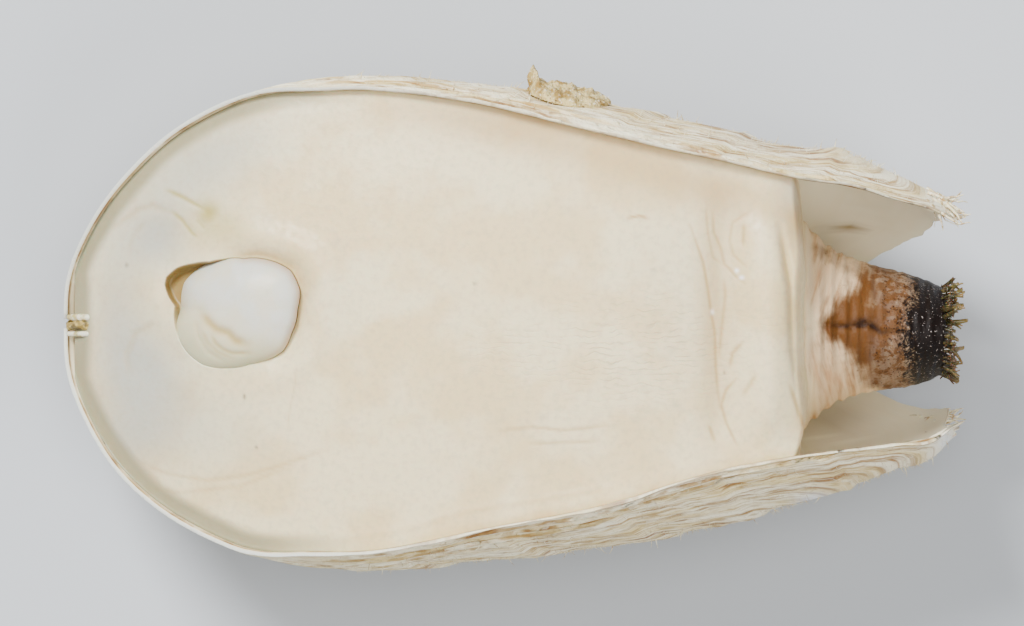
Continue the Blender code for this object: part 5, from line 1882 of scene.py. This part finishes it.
@dataclass
class Hinge:
    """The ligament between the valves and the white hinge ridge of each valve."""

    ligament_radius: float = 0.15
    fibre_radius: float = 0.15
    ridge_x: tuple[float, ...] = (-15.12, -14.95, -14.7, -14.45, -14.2)
    ridge_z: tuple[float, ...] = (5.18, 5.4, 5.66, 5.82, 5.94)

    def tube(self, name: str, path: np.ndarray, radii: np.ndarray, grain: float) -> bpy.types.Object:
        """Build an uneven rod along a path.

        Args:
            name: The object's name.
            path: Its knots in millimetres.
            radii: Its radius at each knot.
            grain: How uneven it is, as a share of the radius.

        Returns:
            The object.
        """
        count = 24
        fine = np.linspace(0.0, len(path) - 1.0, 12 * len(path))
        middle = np.stack([np.interp(fine, np.arange(len(path)), path[:, i]) for i in range(3)], axis=-1)
        radius = np.interp(fine, np.arange(len(path)), radii)
        ahead = np.gradient(middle, axis=0)
        ahead /= np.linalg.norm(ahead, axis=-1, keepdims=True)
        side = np.cross(ahead, np.array((0.0, 1.0, 0.0)))
        side /= np.linalg.norm(side, axis=-1, keepdims=True)
        up = np.cross(side, ahead)
        angle = np.linspace(0.0, 2.0 * math.pi, count, endpoint=False)[None, :, None]
        ring = np.cos(angle) * side[:, None] + np.sin(angle) * up[:, None]
        points = middle[:, None] + ring * radius[:, None, None]
        swell = 1.0 + grain * noise(points, 0.22, 61, 3)
        return lofted(name, middle[:, None] + ring * (radius[:, None] * swell)[..., None])

    def ligament(self) -> bpy.types.Object:
        """Build the ligament in the gap between the valves."""
        r = np.linspace(0.09, float(station(-5.5)), 18)
        middle = LEFT_FORM.offset(r, 0.0, -0.14)
        middle[:, 1] = 0.0
        radii = np.full(len(r), self.ligament_radius)
        radii[0] = radii[-1] = 0.06
        return self.tube("hinge_ligament", middle, radii, 0.5)

    def across_rim(self, name: str, y: float, radius: float, grain: float) -> bpy.types.Object:
        """Build a rod from the front rim to the mantle: a hinge ridge, or the fibres between the two."""
        x, z = np.array(self.ridge_x), np.array(self.ridge_z)
        path = np.stack((x, np.full(len(x), y), z - grain * 0.16), axis=-1)
        radii = radius * np.array((0.9, 1.0, 1.0, 1.0, 0.9))
        return self.tube(name, path, radii, grain)


@dataclass
class Studio:
    """A pale floor, soft lamps and a camera that looks straight down on the gape."""

    lens: float = 400.0
    sensor: float = 36.0
    focus_height: float = 7.0
    floor_half: float = 900.0
    floor_colour: str = "#B3B7BC"
    lamps: Sequence[tuple[str, tuple[float, float, float], float, float]] = (
        ("key", (-150.0, 210.0, 300.0), 150.0, 3.4),
        ("fill", (200.0, -190.0, 330.0), 260.0, 1.1),
        ("top", (20.0, 20.0, 420.0), 200.0, 0.9),
    )
    sky: float = 0.36

    def floor(self) -> None:
        """Lay the floor."""
        half = self.floor_half
        corners = np.array(((-half, -half, 0.0), (half, -half, 0.0), (half, half, 0.0), (-half, half, 0.0)))
        mesh = bpy.data.meshes.new("studio_floor")
        mesh.from_pydata((corners * MM).tolist(), [], [(0, 1, 2, 3)])
        made = bpy.data.objects.new("studio_floor", mesh)
        bpy.context.scene.collection.objects.link(made)
        finish = bpy.data.materials.new("studio_paper")
        finish.use_nodes = True
        shader = finish.node_tree.nodes["Principled BSDF"]
        shader.inputs["Base Color"].default_value = linear(self.floor_colour)
        shader.inputs["Roughness"].default_value = 0.9
        mesh.materials.append(finish)

    def light(self) -> None:
        """Hang the lamps and set the sky."""
        for name, place, size, power in self.lamps:
            lamp = bpy.data.lights.new(name, "AREA")
            lamp.shape = "DISK"
            lamp.size = size * MM
            lamp.energy = power
            made = bpy.data.objects.new(name, lamp)
            bpy.context.scene.collection.objects.link(made)
            made.location = np.array(place) * MM
            away = made.location.normalized()
            made.rotation_euler = away.to_track_quat("Z", "Y").to_euler()
        world = bpy.data.worlds.new("studio_sky")
        world.use_nodes = True
        world.node_tree.nodes["Background"].inputs["Color"].default_value = (1.0, 1.0, 1.0, 1.0)
        world.node_tree.nodes["Background"].inputs["Strength"].default_value = self.sky
        bpy.context.scene.world = world

    def camera(self) -> None:
        """Set the camera over the middle of the picture."""
        data = bpy.data.cameras.new("view")
        data.lens, data.sensor_width = self.lens, self.sensor
        data.clip_start, data.clip_end = 0.01, 10.0
        made = bpy.data.objects.new("view", data)
        bpy.context.scene.collection.objects.link(made)
        x, y = PICTURE.place((PICTURE.wide / 2.0, PICTURE.tall / 2.0))
        above = PICTURE.wide * PICTURE.mm_per_pixel * self.lens / self.sensor
        made.location = (x * MM, y * MM, (self.focus_height + above) * MM)
        bpy.context.scene.camera = made


def report(piece: bpy.types.Object) -> bpy.types.Object:
    """Log a piece's size and return it."""
    piece.data.calc_loop_triangles()
    LOG.info("%s: %d triangles", piece.name, len(piece.data.loop_triangles))
    return piece


def main() -> None:
    """Build the studio and every piece in order."""
    logging.basicConfig(level=logging.INFO, format="%(message)s")
    studio = Studio()
    studio.floor()
    studio.light()
    studio.camera()

    lime = ShellLime().material()
    left = Valve(LEFT_FORM, "left_valve", seed=3,
                 smudges=(Patch((848, 226), (13, 3.5), 1.0), Patch((838, 236), (4, 3), 0.5)),
                 scratches=(Crease(((855, 197), (872, 211), (893, 227)), 0.03, 0.0, 0.9),),
                 # Painted light lifting the shaded lining beside the mantle's rear corner
                 painted_light_patches=(Patch((800, 192), (26, 30), 0.9),),
                 smooth=(Patch((862, 158), (26, 10), 0.6, -18.0), Patch((620, 133), (56, 5), 0.8, -14.0)),
                 stains=(Patch((780, 144), (56, 8), 0.9, -13.0), Patch((858, 160), (26, 7), 0.35, -18.0)),
                 # Painted shade on the lining near the rear
                 lining_shades=(Patch((826, 250), (26, 26), 0.5),))
    right = Valve(RIGHT_FORM, "right_valve", seed=23,
                  scratches=(Crease(((807, 439), (845, 441), (880, 444)), 0.035, 0.0, 0.8),),
                  chalk=(Patch((811, 500), (16, 7), 0.9, 10.0), Patch((944, 440), (8, 10), 0.9)),
                  stains=(Patch((619, 500), (12, 4), 0.9, 12.0), Patch((600, 522), (14, 4), 0.8, 12.0),
                          Patch((830, 478), (70, 16), 0.45, 12.0), Patch((660, 486), (40, 3), 0.8, 12.0)),
                  # Painted shade on the lower lining near the rear
                  lining_shades=(Patch((836, 420), (40, 22), 0.75), Patch((815, 410), (16, 22), 0.5)))
    for valve in (left, right):
        valve.dress(report(valve.build()), lime)

    body = Body()
    body.dress(report(body.build()), MantleSkin().material())
    foot = Foot(body)
    foot.dress(report(foot.build()), FootFlesh().material())

    siphon = Siphon()
    tube = report(siphon.build())
    fringe = report(siphon.papillae(PapillaFlesh().material()))
    siphon.dress(tube, fringe, SiphonSkin().material())

    crust = BurrowCrust()
    crust.dress(report(crust.build()), Crust().material())

    threads = HornySkin().material()
    skin = OuterSkin()
    skin.dress(report(skin.hairs(LEFT_FORM, "left_hairs", threads, 71)), None)
    skin.dress(report(skin.hairs(RIGHT_FORM, "right_hairs", threads, 72)), None)
    skin.dress(report(skin.tuft("left_frayed_tip", LEFT_FORM, (84.0, 118.0), (0.8, -0.55, 0.1), 34, 0.75,
                                threads, 73)), "left_fringe")
    skin.dress(report(skin.tuft("right_frayed_tip", RIGHT_FORM, (40.0, 56.0), (1.0, 0.1, 0.15), 26, 0.85,
                                threads, 74)), "right_fringe")

    hinge = Hinge()
    fibre = LigamentFibre().material()
    for ligament in (hinge.ligament(), hinge.across_rim("hinge_fibres", -0.06, hinge.fibre_radius, 0.5)):
        report(ligament).data.materials.append(fibre)
        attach(ligament, "root")
        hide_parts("ligament")
    ivory = Ivory().material()
    for name, y, radius in (("left_hinge_ridge", 0.21, 0.118), ("right_hinge_ridge", -0.35, 0.09)):
        ridge = report(hinge.across_rim(name, y, radius, 0.12))
        ridge.data.materials.append(ivory)
        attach(ridge, "root")


if __name__ == "__main__":
    main()
